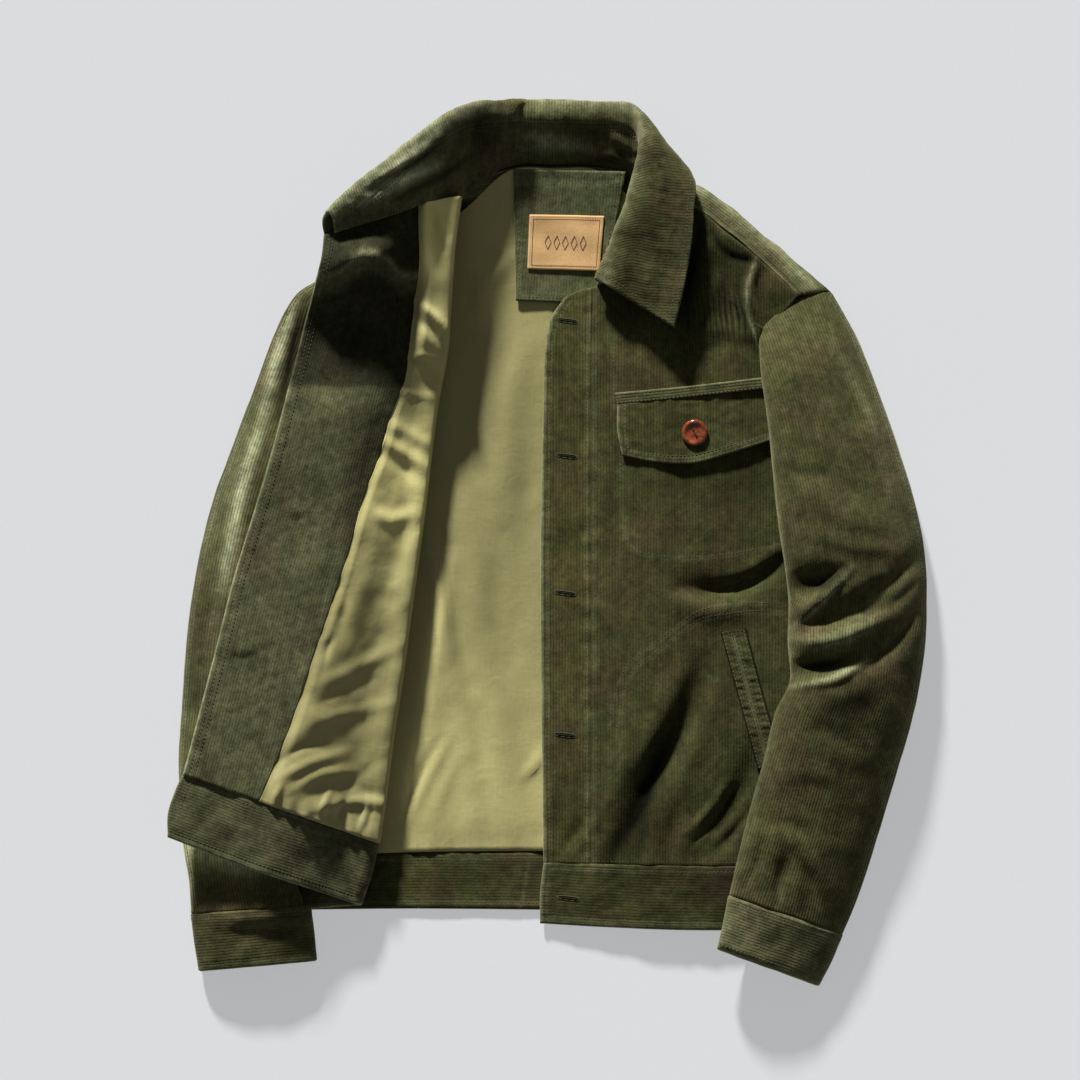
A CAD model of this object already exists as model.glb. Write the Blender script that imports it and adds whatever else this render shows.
"""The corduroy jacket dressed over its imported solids: cloth with its wales, folds, seams and stitches, on a
pale surface. Shapes are made in millimetres, +Y towards the collar, and placed in metres in the row frame.
Left and right are the wearer's."""

import bpy
import numpy as np
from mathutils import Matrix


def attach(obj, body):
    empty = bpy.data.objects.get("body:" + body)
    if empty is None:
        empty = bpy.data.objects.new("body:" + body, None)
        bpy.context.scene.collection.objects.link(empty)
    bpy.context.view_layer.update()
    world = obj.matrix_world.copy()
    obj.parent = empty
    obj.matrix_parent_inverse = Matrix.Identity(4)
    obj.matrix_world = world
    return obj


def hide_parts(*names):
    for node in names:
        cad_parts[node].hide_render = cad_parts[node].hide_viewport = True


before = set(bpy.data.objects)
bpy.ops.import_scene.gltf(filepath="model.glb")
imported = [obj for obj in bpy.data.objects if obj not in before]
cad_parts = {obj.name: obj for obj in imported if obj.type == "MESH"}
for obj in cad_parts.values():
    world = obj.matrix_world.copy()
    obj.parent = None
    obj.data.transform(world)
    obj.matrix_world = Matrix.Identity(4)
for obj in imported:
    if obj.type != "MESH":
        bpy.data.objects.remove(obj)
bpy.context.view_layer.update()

MM = 0.001
# The middle of the jacket's box at the resting surface, which is the origin of the row frame.
FRAME_ORIGIN = (1.8, 0.75, 0.0)
# One wale of the corduroy.
WALE = 2.6
# The least length that a direction is divided by, and a distance out of all reach.
TINY = 1e-9
FAR_AWAY = 1e9

# Cloth walls.
SHELL_WALL = 2.0
BAND_WALL = 3.0
COLLAR_WALL = 2.4
FACING_WALL = 1.6
LINING_WALL = 1.0
TRIM_WALL = 1.4
FLAP_WALL = 1.8
LABEL_WALL = 0.9

# Gaps: between the two sides of a seam, at the hem seam of the left front, between cloths that lie on each
# other, and the rise of a pocket's trim over the front.
SEAM_GAP = 0.5
HEM_SEAM_GAP = 0.8
LAY_GAP = 0.4
TRIM_RISE = 0.3

# Height of the left front's middle surface along the body: y, height.
BODY_HEIGHT = ((-345, 9), (-281, 13), (-200, 19), (-60, 22), (100, 24), (220, 25), (320, 24))
# The body's left side as it lies: y, x.
LEFT_SIDE = ((-345, 252), (-281, 260), (-217, 268), (-67, 278), (38, 288), (100, 305), (220, 345), (320, 360))
# Height at that side, and how far in the front rounds up from it.
SIDE_HEIGHT = 3.6
SIDE_ROUND = 78.0
# Share of the body's height at the centre edge, and how far in the front rises to all of it.
CENTRE_EDGE_X = -3.0
EDGE_SHARE = 0.38
EDGE_RISE = 110.0
# The waistband lies this much higher than the front above it.
BAND_STEP = 1.0
# Upper side of the back and, above its seam, of the yoke: y, height.
BACK_HEIGHT = ((-400, 2.0), (150, 2.0), (200, 2.0), (250, 3.0), (290, 4.6), (308, 5.6), (322, 7.0),
               (334, 8.8))

# Folds: start x, y; middle x, y; end x, y; half width; height (negative for a hollow).
LEFT_FRONT_FOLDS = (
    (120, -34, 166, -38, 210, -19, 10, -4.4),
    (118, -54, 160, -60, 200, -44, 12, 2.6),
    (141, -118, 121, -167, 90, -214, 12, -6.0),
    (115, -122, 97, -162, 68, -207, 13, 4.4),
    (186, -178, 170, -222, 150, -262, 13, -5.5),
    (210, -190, 198, -230, 182, -268, 12, 3.4),
    (150, 268, 157, 222, 150, 176, 18, -7.5),
    (187, 252, 177, 226, 186, 176, 10, 4.6),
    (64, -236, 58, -262, 56, -284, 8, 1.6),
    (112, -240, 108, -264, 106, -286, 8, -1.8),
)
LEFT_SLEEVE_FOLDS = (
    (214, -34, 232, -36, 247, -31, 13, -11.0),
    (258, -18, 248, -43, 219, -58, 7, 3.6),
    (221, -70, 276, -61, 329, -10, 9, -7.5),
    (221, -82, 280, -72, 320, -34, 9, 4.0),
    (217, -109, 240, -107, 264, -103, 9, -8.5),
    (274, -110, 300, -92, 326, -62, 9, -5.0),
    (226, -142, 262, -132, 300, -124, 12, 2.4),
    (236, 40, 262, 26, 296, 4, 14, 2.6),
    (262, -320, 240, -290, 222, -262, 9, 2.2),
    (205, -318, 206, -296, 212, -272, 8, -2.4),
    (250, 190, 262, 150, 268, 110, 13, -2.6),
)
RIGHT_FRONT_FOLDS = (
    (-184, 236, -150, 256, -127, 236, 9, 2.6),
    (-172, 214, -150, 232, -130, 214, 9, -2.2),
    (-128, 120, -158, 70, -170, 10, 15, -1.8),
    (-214, -60, -205, -120, -214, -170, 14, 2.0),
    (-190, -244, -186, -222, -180, -196, 8, 1.8),
    (-168, -250, -163, -232, -156, -212, 7, -1.8),
)
RIGHT_SLEEVE_FOLDS = (
    (-252, 150, -262, 112, -276, 64, 9, 2.6),
    (-276, 20, -286, -30, -300, -84, 9, -2.4),
    (-322, -150, -300, -140, -270, -138, 10, -3.0),
    (-240, -322, -250, -300, -256, -276, 8, 2.0),
)
BACK_LINING_FOLDS = (
    (-70, 292, -60, 240, -58, 160, 10, 1.4),
    (-20, 150, -40, 40, -70, -80, 14, 1.4),
    (-90, -40, -98, -140, -96, -250, 11, 1.6),
    (-30, -110, -44, -190, -40, -262, 12, 1.3),
)

# Outlines in plan, each from the hem upwards or from the wearer's right to left (x, y).
BACK_RIGHT = ((-224, -276), (-231, -217), (-250, -67), (-260, 38), (-245, 65), (-212, 100), (-200, 148),
              (-206, 188))
BACK_LEFT = ((258, -276), (265, -217), (275, -67), (284, 38), (270, 65), (240, 100), (230, 148), (238, 188))
BACK_TOP = ((-206, 188), (-102, 194.5), (17, 197), (136, 194.5), (238, 188))
BACK_HEM = ((-224, -276), (-111, -273), (17, -272), (136, -274), (258, -276))
BACK_BAND_HEM = ((-217, -321), (-128, -320), (-1, -321), (136, -323), (250, -324))

LINING_RIGHT = ((-204, -274), (-211, -217), (-228, -67), (-236, 38), (-224, 65), (-196, 100), (-184, 150),
                (-168, 205), (-130, 245), (-100, 270), (-68, 297))
LINING_LEFT = ((246, -274), (254, -217), (264, -67), (272, 38), (258, 65), (228, 100), (218, 150),
               (190, 205), (150, 245), (116, 273), (78, 299))
LINING_TOP = ((-68, 297), (-30, 328.5), (8, 329.5), (44, 328.5), (78, 299))
LINING_HEM = ((-204, -274), (-111, -271), (17, -270), (136, -272), (246, -274))

CENTRE_EDGE = ((-1, -281), (-3, -138), (-3, 38), (-1, 126), (1, 175), (6, 200), (17, 216))
PLACKET_SEAM = ((39, -282), (39, -138), (39, 38), (39, 109), (40, 180), (41, 224))
LEFT_FRONT_TOP = ((41.5, 224), (70, 240), (98, 268), (132, 292), (157, 273.5), (180, 255.5), (221, 218))
LEFT_FRONT_SIDE = ((260, -280), (268, -217), (278, -67), (288, 38), (264, 78), (222, 108), (193, 140),
                   (185, 170), (194, 189), (210, 206.5), (221, 218))
LEFT_BAND_HEM = ((-4, -333), (48, -336), (146, -339), (252, -335))

# The right front: side and shoulder, fold, edge of the facing, centre edge, from the hem seam upwards (x, y).
RIGHT_SIDE = ((-226, -275), (-233, -217), (-252, -67), (-261, 38), (-247, 66), (-216, 100), (-203, 150),
              (-186, 208), (-169, 237), (-131, 267), (-99, 290))
RIGHT_FOLD = ((-148, -263), (-142, -221), (-136, -173), (-128, -120), (-121, -67), (-114, -15), (-107, 38),
              (-102, 82), (-96, 126), (-88, 170), (-85, 214), (-82, 258), (-76, 305))
RIGHT_FACING = ((-252, -226), (-233, -182), (-217, -138), (-203, -94), (-188, -50), (-174, -6), (-162, 38),
                (-146, 82), (-136, 117), (-126, 142), (-121, 175), (-117, 210), (-114, 236), (-113, 298))
RIGHT_EDGE = ((-318, -203), (-310, -173), (-299, -131), (-286, -81), (-274, -32), (-258, 20), (-242, 73),
              (-231, 115), (-220, 157), (-209, 201), (-201, 232), (-196, 251), (-194, 270))
RIGHT_BAND_SIDE = ((-224, -276), (-217, -321))
RIGHT_BAND_FOLD = ((-148.5, -264), (-152, -282), (-163, -317))
RIGHT_BAND_FACING = ((-252.5, -227), (-264, -283))
RIGHT_BAND_EDGE = ((-318.5, -204), (-325, -219), (-331, -239), (-331, -257))

# Heights across the right front: share up the row, side, below the fold, above the fold, over the sleeve.
RIGHT_HEIGHTS = (
    (-0.1, 5.8, 8.0, 22, 43.0),
    (0.00, 3.8, 8.5, 23, 45.5),
    (0.15, 3.8, 9.0, 25, 48.5),
    (0.50, 4.0, 9.5, 26, 50.0),
    (0.62, 7.0, 10.0, 26, 50.0),
    (0.69, 9.8, 11.0, 26.6, 47.5),
    (0.74, 12.0, 12.0, 27, 43.5),
    (0.80, 14.0, 13.0, 28, 42.5),
    (0.86, 16.2, 14.5, 29, 49.0),
    (0.91, 17.6, 16.0, 30.5, 63.0),
    (0.945, 18.4, 17.0, 31.5, 73.0),
    (1.00, 19.5, 18.5, 33, 69.0),
)
# How far in from the fold line the front bends, at most as a share of the way to its side, and the turns of
# the columns round the fold in degrees.
FOLD_REACH = 13.0
FOLD_SHARE = 0.6
FOLD_TURNS = (-90, -60, -28, 0, 28, 60)
# The lower layer rises to the fold this much faster than evenly; the upper one has its height over the sleeve
# from this share of its width on.
LOWER_RISE = 1.6
UPPER_FALL = 0.42

# Sleeves: inner edge x, y; outer edge x, y; inner edge above what it lies on; outer edge's height; rise of
# the crown; reach of the sleeve head towards the neck.
LEFT_SLEEVE = (
    (189, 176, 251, 219, -6.4, 13, 6, 11),
    (189, 160, 262, 200, 1.0, 13, 15, 7),
    (191, 139, 275, 175, 5.0, 13, 21, 3),
    (196, 104, 294, 126, 7.0, 12, 25, 0),
    (200, 65, 311, 78, 7.0, 11, 28, 0),
    (204, 25, 325, 29, 7.0, 10, 30, 0),
    (209, -11, 333, -15, 7.0, 10, 31, 0),
    (214, -50, 334, -54, 7.0, 10, 30, 0),
    (213, -85, 332, -94, 7.0, 10, 30, 0),
    (215, -120, 326, -133, 7.0, 10, 29, 0),
    (202, -149, 315, -177, 7.0, 10, 28, 0),
    (193, -186, 301, -223, 7.0, 9, 26, 0),
    (182, -226, 287, -270, 7.0, 9, 23, 0),
    (172, -265, 272, -314, 7.0, 9, 20, 0),
    (162, -309, 260, -343, 7.0, 9, 17, 0),
)
LEFT_CUFF = (
    (161.5, -310, 259.5, -344, 7.0, 9, 17, 0),
    (157, -333, 250, -367, 7.0, 9, 14, 0),
    (152, -356, 239, -388, 7.0, 8, 12, 0),
)
RIGHT_SLEEVE = (
    (-150, 185, -199, 231, 3.0, 16, 9, 5),
    (-153, 170, -220, 217, 4.4, 14, 11.5, 3),
    (-157, 139, -237, 186, 4.5, 14, 11, 0),
    (-165, 104, -254, 140, 6.0, 13, 18, 0),
    (-176, 65, -272, 93, 7.0, 12, 23, 0),
    (-186, 25, -290, 44, 7.0, 11, 25, 0),
    (-194, -15, -302, -1, 7.0, 11, 26, 0),
    (-202, -54, -311, -50, 7.0, 11, 27, 0),
    (-207, -94, -316, -94, 7.0, 11, 27, 0),
    (-211, -135, -319, -138, 7.0, 11, 27, 0),
    (-216, -177, -322, -186, 7.0, 11, 26, 0),
    (-219, -221, -321, -226, 7.0, 10, 24, 0),
    (-221, -261, -318, -265, 7.0, 10, 22, 0),
    (-221, -294, -313, -296, 7.0, 9, 19, 0),
    (-213, -318, -311, -325, 7.0, 9, 16, 0),
)
RIGHT_CUFF = (
    (-208, -319, -311, -326, 7.0, 9, 16, 0),
    (-205, -343, -308, -351, 7.0, 9, 14, 0),
    (-203, -366, -304, -375, 7.0, 8, 12, 0),
)
# Roundness of the sleeve over the top, of its folds and of its underside (1 is a sine).
CROWN_POWER = 0.75
FOLD_POWER = 0.6
UNDER_POWER = 0.55
# The underside stays this far below the crown: share of the crown, and millimetres.
UNDER_SHARE = 0.45
UNDER_DROP = 3.0
# Room left between the left front and the sleeve on it, and what the thicker hem adds below this y, over a
# fade. The front itself ends at FRONT_END, and its height is read down to FRONT_READ.
SLEEVE_ROOM = 7.2
HEM_ROOM = 3.0
HEM_ROOM_Y = -262
HEM_ROOM_FADE = 30
FRONT_END = -352
FRONT_READ = -336
# What the right sleeve lies on: the side of the right front's lower layer (y, then x), its hem, and its
# height (y, height).
RIGHT_SUPPORT_SIDE = ((-321, -276, -67, 38, 120, 200), (-222, -231, -257, -267, -280, -305))
RIGHT_SUPPORT_END = -324
RIGHT_SUPPORT_HEIGHT = ((-400, 9.5), (40, 10.0), (120, 15.0), (215, 22.0), (300, 23.0))
# A sleeve comes down over an edge below it within this reach.
DROP_REACH = 14.0

# Yoke: front seam, shoulder, just behind the shoulder, back seam (x, y, z each).
YOKE = (
    (-188, 222, 20, -199, 241, 13, -200, 228, 3, -206, 190, 1),
    (-171, 243, 20, -178, 257, 12, -174, 244, 3, -164, 192, 1),
    (-130, 271, 20, -137, 286, 12, -134, 272, 3, -120, 195, 1),
    (-97, 294, 18, -98, 309, 11, -96, 294, 3, -80, 197, 1),
    (-62, 318, 9, -64, 319, 6, -60, 304, 3.0, -49, 198.5, 1),
    (-28, 330, 6.6, -27, 322, 5, -26, 308, 3.8, -14, 199.5, 1),
    (8, 331, 6.4, 8, 323, 5, 8, 309, 3.8, 12, 199.5, 1),
    (48, 330, 6.6, 48, 322, 5, 48, 308, 3.8, 48, 199.5, 1),
    (74, 325, 8, 76, 320, 5.6, 78, 304, 3.2, 83, 198.5, 1),
    (100, 300, 20, 104, 312, 11, 103, 296, 3, 114, 197, 1),
    (133.6, 294.6, 24, 137, 312, 14, 138, 298, 3, 149, 194.5, 1),
    (181.4, 257.4, 24, 192, 270, 14, 188, 256, 3, 193, 191.5, 1),
    (221.8, 219.2, 24, 250, 220, 13, 246, 209, 3, 238, 190, 1),
)

# Collar: neck seam, roll, outer edge (x, y, z each), from the right front round the neck to the left.
COLLAR = (
    (-184, 273, 74.5, -191, 291, 80, -191, 247, 58),
    (-159, 281, 75.0, -166, 315, 86, -165, 258, 55),
    (-133, 289, 73.0, -139, 336, 86, -130, 272, 48),
    (-106, 299, 58.0, -111, 359, 78, -106, 303, 34),
    (-82, 309, 42.0, -88, 376, 64, -90, 326, 14),
    (-60, 322, 22.0, -64, 386, 47, -64, 332, 3.6),
    (-29, 334, 10.5, -29, 389, 34, -29, 316, 1.2),
    (8, 335, 9.5, 8, 389, 26, 8, 315, 1.2),
    (48, 334, 10.5, 47, 388, 27, 52, 318, 1.2),
    (78, 324, 15.0, 77, 384, 35, 106, 341, 12),
    (98, 304, 25.0, 84, 357, 46, 129, 320, 30),
    (103, 282, 28.0, 77, 325, 48, 129, 292, 40),
    (91, 262, 27.0, 69, 297, 48, 126, 258, 43),
    (68, 243, 24.0, 57, 265, 42, 120, 224, 44),
    (46, 229, 20.0, 43, 233, 30, 112, 191, 44),
)
# Radius of the roll, its depth in radii, and how deep the leaf sags where it hangs free.
ROLL_RADIUS = 4.5
ROLL_DEPTH = 1.3
LEAF_SAG = 0.3
# The stand's seam below the roll, and at least this share of the way up to it.
STAND_SEAM = 21.0
LEAST_STAND = 0.35

# Chest pocket: upper and lower edge of its welt, then of its flap (x, y), and the flap's button.
CHEST_WELT = (((62, 132), (127, 138), (203, 147)), ((64, 123), (127, 129.5), (203, 138)))
CHEST_FLAP = (((64, 122), (127, 128.5), (203, 137)), ((68, 78), (92, 73), (127, 71), (162, 80), (206, 94)))
CHEST_BUTTON = (131, 97)
# Side pocket's double welt, one piece round its slot: right edge, slot's right and left side, left edge,
# from the top down.
SIDE_WELTS = (
    ((153, -77.5), (169, -136), (186, -198.5)),
    ((163.2, -80.5), (178.6, -137), (195.0, -194.5)),
    ((164.6, -80.0), (180.0, -136.5), (196.6, -194.0)),
    ((176, -74.5), (191, -132), (208.5, -192)),
)
# Upper right, upper left, lower right and lower left corner (x, y).
NECK_PATCH = ((-28, 329), (70, 327), (-26, 214), (48, 211))
NECK_LABEL = ((-14, 289), (51, 288), (-16, 242), (47, 240))
# The buttons, 23 mm across.
BUTTON_RADIUS = 11.5

# Steps of a curve between two of its points, steps along a fold, and a fold's height at its ends as a share.
CURVE_STEPS = 24
FOLD_STEPS = 6
FOLD_ENDS = 0.35


def ease(t):
    """Rises from 0 to 1 with a level start and end."""
    t = np.clip(t, 0.0, 1.0)
    return t * t * (3.0 - 2.0 * t)


def dome(t):
    """Rises from 0 to 1 as a quarter ellipse."""
    t = np.clip(t, 0.0, 1.0)
    return np.sqrt(t * (2.0 - t))


def bell(far, width):
    """1 at no distance, falling to 0.37 at this width."""
    return np.exp(-((far / width) ** 2))


def spot(x, y, centre, widths):
    """The same round a point in plan, with a width each way."""
    return np.exp(-(((x - centre[0]) / widths[0]) ** 2) - ((y - centre[1]) / widths[1]) ** 2)


def even(count):
    """Evenly spaced shares from 0 to 1."""
    return np.linspace(0.0, 1.0, count)


def unit(vectors, least=0.0):
    """Vectors scaled to a length of 1, along their last axis."""
    return vectors / np.maximum(np.linalg.norm(vectors, axis=-1, keepdims=True), least)


def way_along(points):
    """The way along a line of points, at each of them."""
    return np.concatenate([[0.0], np.cumsum(np.linalg.norm(np.diff(points, axis=0), axis=1))])


def xy(points):
    """Plan coordinates of points."""
    return points[..., 0], points[..., 1]


def between(values, slope, k, h, t):
    """A smooth cubic from entry k to the next, h apart, at this share of the way."""
    q = (1 + 2 * t) * (1 - t) ** 2 * values[k] + t * (1 - t) ** 2 * h * slope[k]
    return q + t * t * (3 - 2 * t) * values[k + 1] + t * t * (t - 1) * h * slope[k + 1]


def to_segment(x, y, start, step, square):
    """Distance of plan points from a segment, given its length squared, and the share of the way along it."""
    t = np.clip(((x - start[0]) * step[0] + (y - start[1]) * step[1]) / square, 0.0, 1.0)
    return np.hypot(x - start[0] - t * step[0], y - start[1] - t * step[1]), t


def curve(points, at):
    """A smooth curve through the points, read at these shares of its length."""
    p = np.asarray(points, float)
    s = way_along(p)
    slope = np.gradient(p, s, axis=0)
    fine = np.linspace(0.0, s[-1], CURVE_STEPS * (len(p) - 1) + 1)
    k = np.clip(np.searchsorted(s, fine, side="right") - 1, 0, len(p) - 2)
    h = (s[k + 1] - s[k])[:, None]
    t = (fine - s[k])[:, None] / h
    q = between(p, slope, k, h, t)
    length = way_along(q)
    at = np.asarray(at, float) * length[-1]
    return np.stack([np.interp(at, length, q[:, c]) for c in range(p.shape[1])], axis=-1)


def table_at(table, at):
    """The columns of a table, smoothly read at values of its first column."""
    rows = np.asarray(table, float)
    x, y = rows[:, 0], rows[:, 1:]
    slope = np.gradient(y, x, axis=0)
    at = np.clip(np.asarray(at, float), x[0], x[-1])
    k = np.clip(np.searchsorted(x, at, side="right") - 1, 0, len(x) - 2)
    h = (x[k + 1] - x[k])[..., None]
    t = (at - x[k])[..., None] / h
    return between(y, slope, k, h, t)


def stations(table, count):
    """Rows of a table resampled evenly along it."""
    rows = np.asarray(table, float)
    place = np.arange(len(rows), dtype=float)
    return table_at(np.column_stack([place, rows]), np.linspace(0.0, place[-1], count))


def folds(table, x, y):
    """Height added by the folds of a table at these plan points."""
    total = np.zeros(np.shape(x))
    for x0, y0, xm, ym, x1, y1, width, height in table:
        spine = curve(((x0, y0), (xm, ym), (x1, y1)), even(FOLD_STEPS + 1))
        near = np.full(np.shape(x), FAR_AWAY)
        along = np.zeros(np.shape(x))
        for k, (a, b) in enumerate(zip(spine[:-1], spine[1:])):
            step = b - a
            far, t = to_segment(x, y, a, step, step @ step)
            along = np.where(far < near, (k + t) / FOLD_STEPS, along)
            near = np.minimum(near, far)
        total = total + height * (FOLD_ENDS + (1 - FOLD_ENDS) * np.sin(np.pi * along)) * bell(near, width)
    return total


def plan(bottom, top, left, right, across, up):
    """Plan points between four edge curves that share their corners, rows from bottom to top."""
    b, t = curve(bottom, across), curve(top, across)
    le, r = curve(left, up), curve(right, up)
    u, v = np.asarray(across)[None, :, None], np.asarray(up)[:, None, None]
    sides = (1 - v) * b[None] + v * t[None] + (1 - u) * le[:, None] + u * r[:, None]
    corners = (1 - v) * ((1 - u) * b[0] + u * b[-1]) + v * ((1 - u) * t[0] + u * t[-1])
    return sides - corners


def left_front_height(x, y):
    """Middle surface of the left front and of its waistband."""
    side = table_at(LEFT_SIDE, y)[..., 0] - x
    body = table_at(BODY_HEIGHT, y)[..., 0]
    share = EDGE_SHARE + (1 - EDGE_SHARE) * ease((x - CENTRE_EDGE_X) / EDGE_RISE)
    high = body * share + folds(LEFT_FRONT_FOLDS, x, y)
    return SIDE_HEIGHT + (high - SIDE_HEIGHT) * dome(side / SIDE_ROUND)


def back_inner_height(y):
    """Upper side of the back and, above its seam, of the yoke."""
    return table_at(BACK_HEIGHT, y)[..., 0]


def raised(flat, height):
    """Plan points given their height."""
    return np.concatenate([flat, height(*xy(flat))[..., None]], axis=-1)


def normals_of(grid, wrap=False):
    """Directions across a grid of points; wrap joins its last column to its first."""
    across = np.roll(grid, -1, 1) - np.roll(grid, 1, 1) if wrap else np.gradient(grid, axis=1)
    normal = np.cross(across, np.gradient(grid, axis=0))
    return unit(normal)


def moved(grid, distance):
    """The grid moved along its normals."""
    return grid + normals_of(grid) * distance


def four_corners(corners, across, up):
    """Plan points of a four-sided piece: upper right, upper left, lower right, lower left of the wearer."""
    ur, ul, lr, ll = corners
    return plan((lr, ll), (ur, ul), (lr, ur), (ll, ul), even(across), even(up))


def plan_for(piece, bottom, top, left, right):
    """plan() with as many columns and rows as CELLS gives the piece."""
    columns, rows = CELLS[piece]
    return plan(bottom, top, left, right, even(columns), even(rows))


def right_rows(side, fold, facing, edge, up, height_at, wall):
    """Middle points of the folded right front: side, round the fold, edge of the facing, centre edge."""
    s, f, g, p = (curve(line, up) for line in (side, fold, facing, edge))
    side_z, low_z, high_z, rest_z = table_at(RIGHT_HEIGHTS, height_at).T
    side_z = side_z + wall - SHELL_WALL
    under, over = unit(s - f), unit(g - f)
    reach = np.minimum(FOLD_REACH, FOLD_SHARE * np.linalg.norm(s - f, axis=1))[:, None]
    columns = []
    low = f + under * reach
    for t in even(6)[:-1]:
        columns.append(np.column_stack([s + (low - s) * t, side_z + (low_z - side_z) * ease(t * LOWER_RISE)]))
    for turn in np.radians(FOLD_TURNS):
        way = under if turn < 0 else over
        flat = f + way * reach * (1 - np.cos(turn))
        columns.append(np.column_stack([flat, (low_z + high_z) / 2 + (high_z - low_z) / 2 * np.sin(turn)]))
    start = f + over * reach
    span = np.linalg.norm(p - f, axis=1)

    def over_height(flat):
        far = np.linalg.norm(flat - f, axis=1)
        z = high_z + (rest_z - high_z) * ease((far - reach[:, 0]) / (UPPER_FALL * span))
        return z + folds(RIGHT_FRONT_FOLDS, flat[:, 0], flat[:, 1])

    for t in even(6):
        flat = start + (g - start) * t
        columns.append(np.column_stack([flat, over_height(flat)]))
    facing_column = len(columns) - 1
    for t in even(6)[1:]:
        flat = g + (p - g) * t
        columns.append(np.column_stack([flat, over_height(flat)]))
    return np.stack(columns, axis=1), facing_column


def left_support(x, y):
    """What the left sleeve lies on: the left front, then the surface beyond its side and hem."""
    side = table_at(LEFT_SIDE, y)[..., 0] - x
    inside = np.minimum(side, y - FRONT_END)
    high = left_front_height(x, np.maximum(y, FRONT_READ)) + SLEEVE_ROOM
    high = high + HEM_ROOM * ease((HEM_ROOM_Y - y) / HEM_ROOM_FADE)
    return high * ease((inside + DROP_REACH) / DROP_REACH)


def right_support(x, y):
    """What the right sleeve lies on: the lower layer of the right front, then the surface."""
    side = np.interp(y, *RIGHT_SUPPORT_SIDE)
    inside = np.minimum(x - side, y - RIGHT_SUPPORT_END)
    high = table_at(RIGHT_SUPPORT_HEIGHT, y)[..., 0]
    return high * ease((inside + DROP_REACH) / DROP_REACH)


def sleeve_rings(table, count, turns, support, sleeve_folds):
    """Middle points of part of a sleeve: turns run from the inner edge over the top to the outer edge (1)."""
    rows = stations(table, count)
    inner, outer = rows[:, 0:2], rows[:, 2:4]
    lift, outer_z, crown, cap = rows[:, 4:].T
    inner_z = support(inner[:, 0], inner[:, 1]) + lift
    angle = np.pi * np.asarray(turns)[None, :]
    share = (1 - np.cos(angle)) / 2
    flat = inner[:, None] + (outer - inner)[:, None] * share[..., None]
    width = outer - inner
    to_neck = np.stack([-width[:, 1], width[:, 0]], axis=1) * np.sign(width[:, :1])
    to_neck = to_neck / np.linalg.norm(width, axis=1, keepdims=True)
    flat = flat + to_neck[:, None] * (cap[:, None] * np.maximum(np.sin(angle), 0))[..., None]
    edge_z = inner_z[:, None] * (1 - share) + outer_z[:, None] * share
    swell = np.broadcast_to(np.abs(np.sin(angle)), edge_z.shape)
    bottom = support(*xy(flat)) + SHELL_WALL / 2 + LAY_GAP
    bottom = np.minimum(bottom, edge_z + UNDER_SHARE * crown[:, None] - UNDER_DROP)
    crest = edge_z + crown[:, None] * swell**CROWN_POWER
    crest = crest + folds(sleeve_folds, *xy(flat)) * swell**FOLD_POWER
    z = np.where(np.sin(angle) >= 0, crest, edge_z - (edge_z - bottom) * swell**UNDER_POWER)
    return np.concatenate([flat, z[..., None]], axis=-1)


def collar_profile(neck, roll, edge):
    """Neck seam, up to the roll, round it and along the leaf to its edge."""
    out = roll - (neck + edge) / 2
    out = out / np.linalg.norm(out)
    across = edge - neck
    across = across - out * (across @ out)
    across = across / np.linalg.norm(across)
    near = roll - out * ROLL_RADIUS * ROLL_DEPTH - across * ROLL_RADIUS
    far = roll - out * ROLL_RADIUS * ROLL_DEPTH + across * ROLL_RADIUS
    middle = (far + edge) / 2
    middle[2] -= LEAF_SAG * ease((neck[2] - edge[2]) / 8.0) * (far[2] - edge[2])
    return np.array((neck, (neck + near) / 2, near, roll, far, middle, edge))


# ---------------------------------------------------------------- relief

# Half width of the groove of a seam, and length and reach of the small puckers beside it; half width of the
# groove of a row of stitches.
SEWN_GROOVE = 1.1
PUCKER_LENGTH = 11.0
PUCKER_REACH = 6.0
GROOVE = 1.0
# Small uneven waves of the cloths: height, seed, length, number of sines, stretch along y.
RIPPLES = {
    "left_front": ((0.55, 11, 70.0, 12, 1.6), (0.22, 12, 26.0, 12, 1.8)),
    "left_waistband": ((0.35, 31, 40.0, 10), (0.15, 32, 16.0, 10)),
    "back_lining": ((0.45, 41, 70.0, 12, 3.0), (0.10, 42, 24.0, 12, 1.6)),
    "back_waistband": ((0.5, 51, 36.0, 10),),
    "neck": ((0.25, 61, 40.0, 8),),
    "neck_label": ((0.25, 63, 30.0, 8),),
    "yoke": ((0.45, 71, 34.0, 10), (0.2, 72, 15.0, 10)),
    "chest_welt": ((0.3, 101, 24.0, 8),),
    "chest_flap": ((0.35, 111, 34.0, 10), (0.16, 112, 14.0, 8)),
    "right_front": ((0.5, 121, 60.0, 12, 1.8), (0.2, 122, 24.0, 10, 1.5)),
    "right_lining": ((0.35, 123, 34.0, 12, 1.5),),
    "right_facing": ((0.13, 126, 15.0, 8),),
    "right_waistband": ((0.4, 131, 34.0, 10),),
    "collar": ((0.4, 141, 30.0, 10), (0.18, 142, 13.0, 8)),
    "left_sleeve": ((0.6, 151, 58.0, 12, 1.3), (0.25, 152, 22.0, 12, 1.2)),
    "left_cuff": ((0.35, 153, 30.0, 10),),
    "right_sleeve": ((0.6, 161, 58.0, 12, 1.3), (0.25, 162, 22.0, 12, 1.2)),
    "right_cuff": ((0.35, 163, 30.0, 10),),
}


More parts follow.
